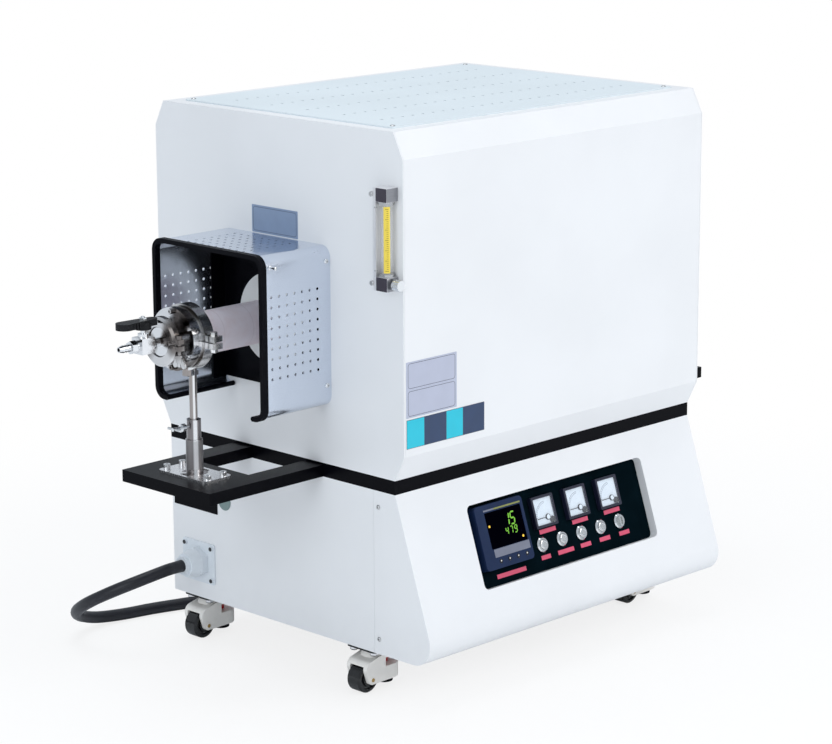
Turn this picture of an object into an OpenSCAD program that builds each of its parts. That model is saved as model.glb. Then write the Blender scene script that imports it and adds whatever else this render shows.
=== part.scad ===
// High-temperature tube furnace on levelling casters.
// Frame: Z up from the floor, X along the work tube, the control panel faces -Y.
// The origin is on the floor under the middle of the furnace.

/* [Housing] */
// Width of the furnace from side face to side face
body_w = 630; // [610:5:700]
// Depth of the upper housing
body_d = 505; // [490:5:560]
// Height of the upper housing
upper_h = 480; // [460:5:540]
// How far the long bevels run in from the front and rear faces
bevel_y = 18; // [12:1:24]
// How far the long bevels run up and down those faces
bevel_z = 36; // [24:1:48]
// Thickness of the painted sheet steel
sheet_t = 2; // [1.5:0.1:2.5]
// Height of the tube axis above the belt frame
axis_rise = 194; // [185:1:210]

/* [Vent panel] */
// How far the vent panel stays back from the edges of the flat top
vent_margin = 22; // [15:1:40]
// Diameter of a vent hole
vent_hole_d = 5; // [3:0.5:8]
// Number of rows of vent holes
vent_rows = 5; // [2:1:6]
// Number of vent holes in a row
vent_cols = 26; // [8:1:27]
// Spacing of the vent rows
vent_row_pitch = 74; // [50:1:76]
// Spacing of the holes along a row
vent_col_pitch = 20; // [12:1:21]

/* [Belt frame] */
// Height of the steel frame between the two housings
belt_h = 20; // [16:1:30]
// How far the frame stands back from the front and rear faces
belt_inset = 18; // [10:1:24]
// Width of the frame's tubes
belt_bar = 30; // [25:1:40]
// How far a support arm reaches out from the side face
arm_reach = 211; // [205:1:230]
// Width over the two arms of a support
arm_span = 184; // [170:1:200]
// Width of an arm's tube
arm_bar = 36; // [24:1:40]
// Height of an arm's tube
arm_h = 17; // [12:1:18]
// Length of the plate that covers the outer part of the arms
arm_plate = 103; // [90:1:106]

/* [Lower cabinet] */
// Height of the lower cabinet
lower_h = 236; // [220:2:280]
// Lean of the control front from the vertical, in degrees
rake = 18.4; // [8:0.2:20]
// Radius of the bottom front edge
front_r = 32; // [20:1:40]
// How far the front fascia wraps back along the sides
fascia_lap = 42; // [35:1:60]

/* [Casters] */
// Height of a caster from the floor to the cabinet
caster_h = 66; // [66:1:80]
// Distance of a caster's swivel from the side face
caster_in = 31; // [31:1:50]
// Distance of the front casters' swivels behind the upper housing's front
caster_front = 92.5; // [55:0.5:110]
// Distance of the rear casters' swivels in front of the upper housing's back
caster_rear = 63.5; // [63:0.5:90]
// Diameter of a caster wheel
wheel_d = 41; // [36:1:42]
// Width of a caster wheel
wheel_w = 25; // [22:1:26]
// How far the wheel's axle trails the swivel
wheel_trail = 23; // [22:1:26]
// How far the levelling foot stands from the swivel
foot_offset = 19; // [18:1:22]
// Distance that the levelling foot travels down
foot_travel = 8; // [4:0.5:8]

/* [Control panel] */
// Width of the recessed control panel
panel_w = 376; // [350:2:400]
// Height of the recessed control panel
panel_h = 121; // [115:1:130]
// Distance of the panel's top edge below the belt frame, along the front
panel_drop = 41.5; // [30:0.5:50]
// Depth of the recess
panel_recess = 13.5; // [8:0.5:14]
// Width of the controller's bezel
ctl_w = 98; // [90:1:104]
// Height of the controller's bezel
ctl_h = 92; // [86:1:96]
// Side of a square panel meter
meter_w = 46; // [40:1:50]
// Spacing of the meters
meter_pitch = 70.3; // [55:0.1:72]
// Diameter of a button's bezel
button_d = 22; // [18:1:26]
// Spacing of the buttons
button_pitch = 42.3; // [30:0.1:43]
// Travel of a push button
button_travel = 2.5; // [1:0.5:3]

/* [Work tube] */
// Outer diameter of the ceramic work tube
tube_od = 60; // [50:1:62]
// Wall of the work tube
tube_wall = 5; // [3:0.5:7]
// How far the tube reaches out from the side face
tube_reach = 172; // [165:1:180]
// Diameter of the ceramic collar at the side face
collar_d = 132; // [110:1:150]
// Clearance between sliding and nesting parts
fit_gap = 0.3; // [0.2:0.05:0.5]

/* [Guards] */
// Length of a tube guard
guard_len = 127; // [115:1:135]
// Width of a tube guard
guard_w = 222; // [200:2:240]
// Height of a tube guard
guard_h = 226; // [200:2:240]
// Corner radius of a tube guard
guard_r = 16; // [8:1:24]
// Thickness of the guard's stainless sheet
guard_t = 2; // [1.5:0.1:2.5]
// Width of the guard's inward bottom flanges
guard_flange = 20; // [15:1:40]
// Diameter of a guard hole
guard_hole_d = 4; // [2.5:0.5:6]
// Spacing of the guard holes
guard_hole_pitch = 14.2; // [10:0.2:15]

/* [Sealing flange and valve] */
// Diameter of the sealing flange
flange_d = 88; // [86:1:100]
// Thickness of the flange's outer disc
cap_t = 9; // [6:1:12]
// Diameter of the gas pipe
pipe_d = 12.7; // [10:0.1:14]
// Side of the square valve body
valve_w = 22; // [18:1:26]
// Length of the valve lever
lever_len = 65; // [55:1:80]

/* [Support post] */
// Diameter of the post's rod
rod_d = 11; // [8:0.5:12]
// Height of the post's socket
socket_h = 76; // [70:1:90]
// Distance that the rod drops when its clamp is open
rod_travel = 30; // [10:1:35]

/* [Flow meter] */
// Height of the flow meter
rota_h = 140; // [120:1:160]
// Width of the flow meter's blocks
rota_w = 21; // [18:1:26]
// Travel of the float
float_travel = 66; // [40:1:70]

/* [Hidden] */
$fn = 48;
eps = 0.01;
// Face-to-face seam left between separate sheet metal pieces
seam = 0.3;
// Radial clearance of a running fit
run_gap = 0.06;

// Main levels and planes; Y values here are counted from the tube axis
half_w = body_w / 2;
cab_z = caster_h;
belt_z = cab_z + lower_h;
deck_z = belt_z + belt_h;
axis_z = deck_z + axis_rise;
top_z = deck_z + upper_h;
front_y = -body_d / 2;
rear_y = body_d / 2;
belt_front_y = front_y + belt_inset;
belt_rear_y = rear_y - belt_inset;
seam_y = belt_front_y + fascia_lap;

// Centre of the bottom front radius, and the foremost reach of the front
front_arc_z = cab_z + front_r;
front_arc_y = belt_front_y - (belt_z - front_arc_z) * tan(rake) + front_r / cos(rake);
foremost_y = front_arc_y - front_r;
// The tube axis stands this far behind the origin
home_y = -(foremost_y + rear_y) / 2;

// Vent panel
vent_w = body_w - 2 * vent_margin;
vent_d = body_d - 2 * bevel_y - 2 * vent_margin;
vent_t = sheet_t;
vent_lip = 15;
port_d = 100;

// Chamber
wool_w = body_w - 2 * sheet_t - 50;
wool_d = body_d - 2 * sheet_t - 100;
wool_top = 190;
cavity_w = 300;
cavity_d = 140;
cavity_drop = 60;
cavity_rise = 90;
element_pitch = 92;
element_span = 44;
element_y = 50;
hot_leg_d = 6;
shank_d = 12;
shank_top = wool_top + 34;
probe_d = 8;

// Front panel layout, counted from the middle of the furnace and down the front
panel_mid_s = panel_drop + panel_h / 2;
panel_t = 3;
ctl_x = -127;
ctl_s = panel_drop + 5 + ctl_h / 2;
ctl_proud = 14.5;
ctl_body_w = ctl_w - 6;
ctl_body_h = ctl_h - 6;
ctl_depth = 80;
ctl_key_d = 6;
ctl_key_s = ctl_s + ctl_h / 2 - 9.5;
ctl_key_pitch = 18;
ctl_key_x = ctl_x + 8.3;
ctl_window = [6.25, 8.25];
meter_x = 40;
meter_s = panel_drop + 37.5;
meter_proud = 7.5;
meter_rim = 3.75;
meter_pocket = 2.5;
meter_barrel_d = 38;
needle_x = 5.5;
needle_s = 9.5;
needle_len = 22;
zero_screw = [13.4, -14.5];
button_x = -44.7;
button_s = panel_drop + 83.7;
barrel_d = button_d - 6;
barrel_len = 26;
plunger_d = button_d - 8;
bezel_proud = 4;

// Work tube, guards and flange
bore_gap = 0.5;
tube_id = tube_od - 2 * tube_wall;
tube_end = half_w + tube_reach;
guard_lift = 4;
guard_mid_z = axis_z + guard_lift;
guard_end = half_w + guard_len;
guard_holes_x = 7;
guard_holes_z = 9;
guard_hole_start = half_w + 24.8;
trim_r = 3.5;
tray_rise = 8;
tray_depth = 26;
collar_t = 7;
neck_r = tube_od / 2 + 11;
clamp_x = half_w + 165;
clamp_w = 16;
clamp_wall = 5;
clamp_r = neck_r + fit_gap + clamp_wall;
ear_w = 20;
ear_t = 8;
disc_x = half_w + 176;
disc_t = 5;
cap_x = disc_x + disc_t + 1.5;
hub_x = cap_x + cap_t;
hub_len = 18.5;
kf_x = hub_x + hub_len;
kf_r = 27.5;
kf_t = 3.2;
pipe_x = kf_x + 2 * kf_t + 1;
valve_x = pipe_x + 25.5;
tail_x = valve_x + valve_w / 2;
stem_z = axis_z + valve_w / 2;
lever_z = stem_z + 11;
lever_bore = 7;
stem_r = 3.6;

// Support post
post_x = half_w + 157;
arm_z = belt_z;
arm_top = arm_z + arm_h;
foot_plate_x = 52;
foot_plate_y = 100;
foot_plate_t = 3;
foot_bolt_x = 28;
foot_bolt_y = 86;
socket_r = 12;
socket_top_r = 10;
socket_step = 48;
socket_z = arm_top + foot_plate_t;
rod_bottom = socket_z + rod_travel + 8;
screw_z = socket_z + socket_h - 9;
screw_reach = 38;

// Flow meter
rota_front_y = front_y + 9;
rota_top_z = deck_z + 407;
rota_bottom_z = rota_top_z - rota_h;
rota_block_h = 19;
rota_x = -half_w - rota_w / 2 - 0.5;
rota_mid_y = rota_front_y + rota_w / 2;
rota_tube_r = 8.5;
rota_bore_r = 3.6;
float_z = rota_bottom_z + rota_block_h + 8 + fit_gap;

// Cable gland and cord; the cord's points are in the part's own frame
gland_y = rear_y - 76.5;
gland_z = cab_z + 56;
gland_len = 36;
cord_d = 18;
cord_route = [
  [-319, 200, 122], [-350, 200, 122], [-370, 200, 122], [-385, 200, 121.3],
  [-425, 210.7, 112.8], [-454.3, 240, 95.9], [-465, 280, 73.5], [-454.3, 320, 49.7],
  [-425, 349.3, 28.7], [-385, 360, 14.3], [-337.5, 356, 9], [-290, 345, 9],
  [-242.5, 330, 9], [-195, 315, 9], [-147.5, 304, 9], [-100, 300, 9],
  [-68, 300, 9], [-36, 300, 9], [-4, 300, 9]
];
cord_tail = [
  [84, 300, 62], [120, 300, 56], [156, 300, 44], [192, 300, 33],
  [228, 300, 28], [264, 300, 28]
];
coil_centre = [40, 400];
coil_r = 100;
coil_turns = 3;
plug_start = [264, 300, 28];
plug_r = 28;
plug_len = 120;
plug_neck_r = 15;
plug_grip_r = 22;
plug_mouth = 45;
plug_wall = 4;
plug_pin_r = 3;

// Power supply: a transformer and a power controller on its heat sink
core_size = [150, 60, 130];
core_at = [-110, 110];
winding_size = [60, 110, 80];
skid_size = [170, 16, 8];
sink_at = [60, 70];
sink_size = [120, 100, 52];
sink_top = 6;
sink_base = 8;
fin_t = 3.2;
fin_pitch = 14.6;
fin_count = 9;
driver_size = [80, 70, 45];

// Casters
caster_plate = 56;
caster_plate_t = 4;
caster_hole_pitch = 40;
caster_hole_d = 8.4;
swivel_pin_r = 7;
swivel_pin_len = 12;
axle_r = 4;
axle_z = wheel_d / 2;
fork_top = caster_h - caster_plate_t - seam;
fork_w = 40;
fork_low = 14.5;
pocket_gap = 2.3;
pad_r = 12;
pad_t = 3;
pad_z = foot_travel - 2;
window_low = 34.5;
window_top = 47.5;
thumb_r = 13.5;
thumb_h = 4;
foot_r = 5;

// ---------------------------------------------------------------- helpers

// Moves a piece drawn about the tube axis to its place
module home() translate([0, home_y, 0]) children();

// A rectangle with true arcs at its corners
module rrect(w, h, r) {
  square([w - 2 * r, h], center = true);
  square([w, h - 2 * r], center = true);
  for (sx = [-1, 1], sy = [-1, 1])
    translate([sx * (w / 2 - r), sy * (h / 2 - r)]) circle(r);
}

// Extrudes a YZ outline along X from x0
module from_x(x0, len) translate([x0, 0, 0]) rotate([90, 0, 90]) linear_extrude(len) children();

// A cylinder along X, starting at x0
module rod_x(x0, len, r) translate([x0, 0, 0]) rotate([0, 90, 0]) cylinder(h = len, r = r);

// A cylinder along Y, centred
module rod_y(len, r) rotate([90, 0, 0]) cylinder(h = len, r = r, center = true);

// A ring along X, starting at x0
module ring_x(x0, len, r_out, r_in) {
  difference() {
    rod_x(x0, len, r_out);
    rod_x(x0 - 1, len + 2, r_in);
  }
}

// Draws a right-hand piece and its mirror image on the left
module both_ends() {
  children();
  mirror([1, 0, 0]) children();
}

// Places a piece on the leaning front: x across, s down the front, out from its face
module on_front(x, s, out = 0) {
  translate([0, belt_front_y, belt_z]) rotate([90 - rake, 0, 0]) translate([x, -s, out]) children();
}

// ---------------------------------------------------------------- housings

// Side outline of the upper housing: a rectangle with long bevels
module upper_profile() {
  polygon([
    [front_y + bevel_y, 0], [rear_y - bevel_y, 0], [rear_y, bevel_z], [rear_y, upper_h - bevel_z],
    [rear_y - bevel_y, upper_h], [front_y + bevel_y, upper_h], [front_y, upper_h - bevel_z],
    [front_y, bevel_z]
  ]);
}

// Side outline of the lower cabinet, moved in by inset and opened upwards by rise
module lower_profile(inset = 0, rise = 0) {
  r = front_r - inset;
  polygon([
    [belt_rear_y - inset, cab_z + inset],
    [belt_rear_y - inset, belt_z + rise],
    [belt_front_y + rise * tan(rake) + inset / cos(rake), belt_z + rise],
    [front_arc_y - r * cos(rake), front_arc_z + r * sin(rake)],
    [front_arc_y, front_arc_z],
    [front_arc_y, front_arc_z - r]
  ]);
  translate([front_arc_y, front_arc_z]) circle(r);
}

module upper_housing() color("whitesmoke") home() translate([0, 0, deck_z]) {
  wrap_w = body_w - 2 * (sheet_t + seam);
  difference() {
    from_x(-wrap_w / 2, wrap_w) difference() {
      upper_profile();
      offset(delta = -sheet_t) upper_profile();
    }
    translate([0, 0, upper_h])
      cube([vent_w - 2 * vent_lip, vent_d - 2 * vent_lip, 4 * sheet_t], center = true);
  }
  both_ends() from_x(half_w - sheet_t, sheet_t) difference() {
    upper_profile();
    translate([0, axis_rise]) circle(d = port_d);
  }
}

module top_vent_panel() color("white") home() translate([0, 0, top_z]) {
  difference() {
    linear_extrude(vent_t) rrect(vent_w, vent_d, 4);
    for (i = [0 : vent_cols - 1], j = [0 : vent_rows - 1])
      translate([(i - (vent_cols - 1) / 2) * vent_col_pitch, (j - (vent_rows - 1) / 2) * vent_row_pitch, -1])
        cylinder(h = vent_t + 2, d = vent_hole_d, $fn = 16);
  }
}

// The whole lower shell, before it is parted into cabinet and fascia
module lower_shell() {
  difference() {
    from_x(-half_w, body_w) lower_profile();
    from_x(-half_w + sheet_t, body_w - 2 * sheet_t) lower_profile(sheet_t, 1);
  }
}

module lower_cabinet() color("whitesmoke") home() {
  difference() {
    lower_shell();
    translate([-body_w, -2 * body_d + seam_y, 0]) cube([2 * body_w, 2 * body_d, belt_z + 1]);
    translate([0, gland_y, gland_z]) rod_x(-half_w - 1, sheet_t + 2, cord_d / 2 + 3);
  }
}

module front_fascia() color("white") home() {
  pocket_wall = 2;
  difference() {
    union() {
      difference() {
        lower_shell();
        translate([-body_w, seam_y - seam, 0]) cube([2 * body_w, 2 * body_d, belt_z + 1]);
      }
      on_front(0, panel_mid_s, -panel_recess)
        linear_extrude(panel_recess - sheet_t / 2) rrect(panel_w + 2 * pocket_wall, panel_h + 2 * pocket_wall, 10);
    }
    on_front(0, panel_mid_s, -panel_recess - 1) linear_extrude(panel_recess + 3) rrect(panel_w, panel_h, 8);
  }
}

module belt_frame() color("black") home() {
  ring_d = belt_rear_y - belt_front_y;
  translate([0, 0, belt_z]) linear_extrude(belt_h) difference() {
    square([body_w, ring_d], center = true);
    square([body_w - 2 * belt_bar, ring_d - 2 * belt_bar], center = true);
  }
  both_ends() {
    for (side = [-1, 1])
      translate([half_w - eps, side * (arm_span - arm_bar) / 2 - arm_bar / 2, arm_z])
        cube([arm_reach + eps, arm_bar, arm_h]);
    for (x = [arm_reach - arm_bar, arm_reach - arm_plate])
      translate([half_w + x, -arm_span / 2, arm_z]) cube([arm_bar, arm_span, arm_h]);
    translate([half_w + arm_reach - arm_plate, -arm_span / 2, arm_top - 3]) cube([arm_plate, arm_span, 3]);
  }
}

// ---------------------------------------------------------------- chamber

module insulation() color("seashell") home() translate([0, 0, axis_z]) {
  // Lower block
  difference() {
    translate([-wool_w / 2, -wool_d / 2, -axis_rise + sheet_t + seam])
      cube([wool_w, wool_d, axis_rise - sheet_t - seam]);
    rod_x(-wool_w, 2 * wool_w, tube_od / 2 + 2);
    translate([-cavity_w / 2, -cavity_d / 2, -cavity_drop]) cube([cavity_w, cavity_d, cavity_drop + 1]);
  }
  // Upper block, with a hole for each element leg and for the probe
  difference() {
    translate([-wool_w / 2, -wool_d / 2, seam]) cube([wool_w, wool_d, wool_top]);
    rod_x(-wool_w, 2 * wool_w, tube_od / 2 + 2);
    translate([-cavity_w / 2, -cavity_d / 2, -1]) cube([cavity_w, cavity_d, cavity_rise + 1]);
    each_shank() cylinder(h = wool_top + 10, d = shank_d + 1);
    cylinder(h = wool_top + 10, d = probe_d + 1);
  }
  // Collars at the side faces
  both_ends() difference() {
    union() {
      rod_x(half_w + sheet_t + seam, collar_t, collar_d / 2);
      rod_x(wool_w / 2 + seam, half_w + sheet_t + collar_t - wool_w / 2 - seam, port_d / 2 - bore_gap);
    }
    rod_x(0, tube_end, tube_od / 2 + bore_gap);
  }
  // Plugs inside the ends of the tube
  both_ends() rod_x(half_w - 75, 60, tube_id / 2 - bore_gap);
}

// Repeats its child at every leg of every element
module each_shank() {
  for (i = [-1 : 1], side = [-1, 1], leg = [-1, 1])
    translate([i * element_pitch + leg * element_span / 2, side * element_y, 0]) children();
}

module heating_elements() color("dimgray") home() translate([0, 0, axis_z]) {
  bend_z = -20;
  // Hot legs and the terminal shanks above them
  each_shank() {
    translate([0, 0, bend_z]) cylinder(h = cavity_rise + 20, d = hot_leg_d);
    translate([0, 0, cavity_rise - 12]) cylinder(h = shank_top - cavity_rise + 12, d = shank_d);
  }
  // Bottom bends
  for (i = [-1 : 1], side = [-1, 1])
    translate([i * element_pitch, side * element_y, bend_z])
      rotate([-90, 0, 0]) rotate_extrude(angle = 180) translate([element_span / 2, 0]) circle(d = hot_leg_d);
  // Straps that join neighbouring elements in series
  for (i = [-1, 1], side = [-1, 1])
    translate([i * element_pitch / 2, side * element_y, shank_top - 8])
      cube([element_pitch - element_span + 10, 18, 4], center = true);
  // Temperature probe with its head on the block
  translate([0, 0, tube_od / 2 + 4]) cylinder(h = wool_top + 6 - tube_od / 2 - 4, d = probe_d);
  translate([0, 0, wool_top + seam]) cylinder(h = 22, r = 14);
}

module furnace_tube() color("lavenderblush") home() translate([0, 0, axis_z])
  ring_x(-tube_end, 2 * tube_end, tube_od / 2, tube_id / 2);

// ---------------------------------------------------------------- end plates and guards

// Outline of a guard, moved in by inset
module guard_outline(inset) rrect(guard_w - 2 * inset, guard_h - 2 * inset, guard_r - inset);

module end_plates() color("black") home() both_ends() translate([0, 0, guard_mid_z]) {
  edge = guard_t + fit_gap;
  low_z = -guard_h / 2 + guard_t + tray_rise;
  difference() {
    union() {
      from_x(half_w, tray_depth) difference() {
        guard_outline(edge);
        guard_outline(edge + sheet_t);
      }
      from_x(half_w, sheet_t) guard_outline(edge + sheet_t / 2);
    }
    translate([half_w - 1, -guard_w / 2, low_z - guard_h]) cube([tray_depth + 2, guard_w, guard_h]);
    translate([0, 0, -guard_lift]) rod_x(half_w - 1, sheet_t + 2, port_d / 2);
  }
}

module guards() color("silver") home() both_ends() translate([0, 0, guard_mid_z]) {
  difference() {
    from_x(half_w, guard_len) difference() {
      guard_outline(0);
      guard_outline(guard_t);
      translate([0, -guard_h / 2]) square([guard_w - 2 * guard_flange, 3 * guard_t], center = true);
    }
    for (i = [0 : guard_holes_x - 1], j = [0 : guard_holes_z - 1])
      translate([guard_hole_start + i * guard_hole_pitch, 0, (j - (guard_holes_z - 1) / 2) * guard_hole_pitch])
        rotate([90, 0, 0]) cylinder(h = guard_w + 2, d = guard_hole_d, center = true, $fn = 16);
    for (i = [0 : guard_holes_x - 1], j = [0 : guard_holes_z - 1])
      translate([guard_hole_start + i * guard_hole_pitch, (j - (guard_holes_z - 1) / 2) * guard_hole_pitch, 0])
        cylinder(h = guard_h, d = guard_hole_d, $fn = 16);
  }
}

module guard_trims() color("black") home() both_ends() translate([0, 0, guard_mid_z]) {
  slot = 0.1;
  cover = 7;
  lip_y = guard_w / 2 - guard_flange;
  lip_z = -guard_h / 2 + guard_t / 2;
  // Bead round the open end of the guard
  difference() {
    from_x(guard_end - cover, cover + 2.5) difference() {
      guard_outline(-2.2);
      guard_outline(guard_t + 2.2);
      translate([0, -guard_h / 2]) square([2 * lip_y, 8 * guard_t], center = true);
    }
    from_x(guard_end - cover - 1, cover + 1) difference() {
      guard_outline(-slot);
      guard_outline(guard_t + slot);
    }
  }
  // Beads along the edges of the bottom flanges
  for (side = [-1, 1]) difference() {
    translate([0, side * (lip_y - 1), lip_z]) rod_x(half_w + 3, guard_len - 3 + 2.5, trim_r);
    translate([half_w, side > 0 ? lip_y - slot : -guard_w, lip_z - guard_t / 2 - slot])
      cube([guard_len + slot, guard_w - lip_y + slot, guard_t + 2 * slot]);
    translate([guard_end - cover - slot, side > 0 ? lip_y : -guard_w, lip_z - 10])
      cube([cover + 10, guard_w - lip_y, 20]);
  }
}

// ---------------------------------------------------------------- sealing flange and valve

module sealing_flanges() color("silver") home() both_ends() translate([0, 0, axis_z]) {
  // Neck that grips the tube, and the inner disc
  difference() {
    union() {
      rod_x(clamp_x - clamp_w / 2 - 5, disc_x - clamp_x + clamp_w / 2 + 5 + eps, neck_r);
      rod_x(disc_x, disc_t, flange_d / 2 - 1);
    }
    rod_x(0, tube_end + fit_gap, tube_od / 2 + fit_gap);
    rod_x(0, cap_x, tube_id / 2);
    each_flange_screw() rod_x(disc_x - 1, disc_t + 2, 2.2);
  }
  // Compression ring between the discs
  ring_x(disc_x + disc_t, 1.5, neck_r, tube_id / 2);
  // Outer disc with the hub of the gas port
  difference() {
    union() {
      rod_x(cap_x, cap_t, flange_d / 2);
      rod_x(hub_x - eps, hub_len + eps, pipe_d / 2 + 3);
      translate([kf_x, 0, 0]) kf_lip();
    }
    rod_x(cap_x - 1, 60, pipe_d / 2 - 1.5);
    each_flange_screw() rod_x(cap_x - 1, cap_t + 2, 2.6);
  }
  // Socket screws
  each_flange_screw() difference() {
    union() {
      rod_x(disc_x, disc_t + 1.5 + cap_t + eps, 2.1);
      rod_x(hub_x, 5, 4);
    }
    rod_x(hub_x + 2.5, 4, 1.8);
  }
}

module each_flange_screw() for (i = [0 : 5]) rotate([30 + i * 60, 0, 0]) translate([0, neck_r - 2, 0]) children();

// Tapered lip of a clamped vacuum joint, facing +X at x = 0
module kf_lip() rotate([0, 90, 0]) rotate_extrude()
  polygon([[0, 0], [kf_r, 0], [kf_r, -1.2], [kf_r - 8, -kf_t - 1], [0, -kf_t - 1]]);

module kf_clamps() color("silver") home() both_ends() translate([kf_x + 0.5, 0, axis_z]) {
  bolt_y = -kf_r - 8.5;
  // The two half rings, parted at the hinge and at the bolt
  difference() {
    union() {
      rotate([0, 90, 0]) rotate_extrude() polygon([
        [kf_r + fit_gap, -1.8], [kf_r - 6.5, -5.2], [kf_r - 6.5, -7], [kf_r + 3.5, -7], [kf_r + 7, -4],
        [kf_r + 7, 4], [kf_r + 3.5, 7], [kf_r - 6.5, 7], [kf_r - 6.5, 5.2], [kf_r + fit_gap, 1.8]
      ]);
      translate([0, bolt_y, 0]) cube([10, 9, 16], center = true);
      translate([0, kf_r + 8, 0]) cube([9, 8, 14], center = true);
    }
    translate([0, bolt_y, 0]) cube([30, 32, 3], center = true);
    translate([0, bolt_y, 0]) cylinder(h = 30, r = 3.4, center = true);
    translate([0, kf_r, 0]) cube([30, 14, 0.6], center = true);
  }
  // Swing bolt with its eye and cross pin, and the wing nut below
  translate([0, bolt_y, 0]) {
    translate([0, 0, -30]) cylinder(h = 43, r = 2.6);
    translate([0, 0, 8 + seam]) cylinder(h = 5, r = 4.6);
    translate([0, 0, -24]) cylinder(h = 10, r = 5.2);
    for (side = [-1, 1]) hull() {
      translate([0, side * 4, -19]) rotate([0, 90, 0]) cylinder(h = 3.4, r = 3, center = true, $fn = 24);
      translate([0, side * 8.5, -28]) rotate([0, 90, 0]) cylinder(h = 2.6, r = 3.8, center = true, $fn = 24);
    }
  }
}

module gas_fittings() color("silver") home() both_ends() translate([0, 0, axis_z]) {
  // Nipple between the clamped joint and the valve
  difference() {
    union() {
      translate([kf_x + 1, 0, 0]) mirror([1, 0, 0]) kf_lip();
      rod_x(kf_x + 1, valve_x - valve_w / 2 - kf_x - 1 + eps, pipe_d / 2);
      // Valve body with its end collars and bonnet
      translate([valve_x, 0, 0]) cube([valve_w, valve_w, valve_w], center = true);
      rod_x(valve_x - valve_w / 2 - 6, 7, 8.5);
      rod_x(tail_x - 1, 5, 8.5);
      translate([valve_x, 0, valve_w / 2 - 1]) cylinder(h = 6, r = 7.5);
      translate([valve_x, 0, valve_w / 2]) cylinder(h = lever_z - stem_z + lever_bore - fit_gap, r = stem_r);
      // Hexagonal nut of the hose tail
      translate([tail_x + 4 - eps, 0, 0]) rotate([0, 90, 0]) cylinder(h = 9, r = 9, $fn = 6);
      // Barbed tail
      translate([tail_x + 12, 0, 0]) rotate([0, 90, 0]) rotate_extrude() polygon([
        [0, 0], [4, 0], [4, 3], [5.4, 3], [4.2, 8], [5.4, 8], [4.2, 13], [5.4, 13], [3.8, 20], [0, 20]
      ]);
    }
    rod_x(kf_x, 120, 2.6);
  }
}

module valve_lever() color("dimgray") home() translate([valve_x, 0, lever_z]) {
  inner = 21;
  difference() {
    union() {
      cylinder(h = 10, r = 11.5);
      hull() {
        translate([-inner + 6, 0, 4]) cylinder(h = 9, r = 8, $fn = 32);
        translate([lever_len - inner - 12, 0, 4]) cylinder(h = 9, r = 12, $fn = 32);
      }
      for (side = [-1, 1], i = [0 : 4])
        translate([14 + i * 5, side * 10.6, 8.5]) cube([2, 3, 8], center = true);
    }
    translate([0, 0, -1]) cylinder(h = lever_bore + 1, r = stem_r + run_gap);
  }
}

module left_valve_lever() mirror([1, 0, 0]) valve_lever();
module right_valve_lever() valve_lever();

// ---------------------------------------------------------------- tube support

// One half of the split ring that holds the flange's neck; the upper half is drawn
module clamp_half() {
  difference() {
    union() {
      rod_x(clamp_x - clamp_w / 2, clamp_w, clamp_r);
      for (side = [-1, 1])
        translate([clamp_x, side * (clamp_r + ear_w / 2 - 3), ear_t / 2 + 1])
          cube([clamp_w, ear_w, ear_t], center = true);
    }
    rod_x(clamp_x - clamp_w, 2 * clamp_w, neck_r + fit_gap);
    translate([0, -200, -400 + 1]) cube([2 * tube_end, 400, 400]);
    each_clamp_bolt() cylinder(h = 40, r = 3.2, center = true);
  }
}

module each_clamp_bolt() for (side = [-1, 1]) translate([clamp_x, side * (clamp_r + ear_w / 2 - 1), 0]) children();

module tube_clamp_caps() color("silver") home() both_ends() translate([0, 0, axis_z]) {
  clamp_half();
  each_clamp_bolt() {
    translate([0, 0, -ear_t - 7]) cylinder(h = 2 * ear_t + 7, r = 2.9);
    translate([0, 0, ear_t + 1]) cylinder(h = 5, r = 5, $fn = 6);
  }
}

module post_rod() color("silver") home() {
  translate([0, 0, axis_z]) {
    mirror([0, 0, 1]) clamp_half();
    each_clamp_bolt() difference() {
      translate([0, 0, -ear_t - 6]) cylinder(h = 5, r = 5.5, $fn = 6);
      cylinder(h = 60, r = 3.2, center = true);
    }
  }
  difference() {
    union() {
      translate([post_x, 0, rod_bottom]) cylinder(h = axis_z - neck_r - 1 - rod_bottom, d = rod_d);
      translate([clamp_x, 0, axis_z - clamp_r - 8]) cylinder(h = 12, r = 8);
      translate([(post_x + clamp_x) / 2, 0, axis_z - clamp_r - 6])
        cube([clamp_x - post_x + 12, 11, 6], center = true);
    }
    translate([0, 0, axis_z]) rod_x(0, tube_end, neck_r + fit_gap);
  }
}

module left_post_rod() mirror([1, 0, 0]) post_rod();
module right_post_rod() post_rod();

module post_sockets() color("silver") home() both_ends() translate([post_x, 0, arm_top]) {
  difference() {
    union() {
      linear_extrude(foot_plate_t) rrect(foot_plate_x, foot_plate_y, 8);
      cylinder(h = foot_plate_t + socket_step, r = socket_r);
      cylinder(h = foot_plate_t + socket_h, r = socket_top_r);
    }
    translate([0, 0, foot_plate_t + 4]) cylinder(h = socket_h, r = rod_d / 2 + run_gap);
    translate([-socket_r, -0.8, foot_plate_t + socket_step + 8]) cube([socket_r, 1.6, socket_h]);
    translate([0, 0, screw_z - arm_top]) rod_x(0, 40, 2.6 + run_gap);
    for (sx = [-1, 1]) translate([sx * 19, 0, -1]) linear_extrude(foot_plate_t + 2) rrect(4, 16, 1.9);
    each_foot_bolt() translate([0, 0, -1]) cylinder(h = foot_plate_t + 2, r = 3.2);
  }
  each_foot_bolt() {
    cylinder(h = foot_plate_t + eps, r = 3);
    translate([0, 0, foot_plate_t]) cylinder(h = 6, r = 5);
  }
}

module each_foot_bolt() for (sx = [-1, 1], sy = [-1, 1])
  translate([sx * foot_bolt_x / 2, sy * foot_bolt_y / 2, 0]) children();

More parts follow.
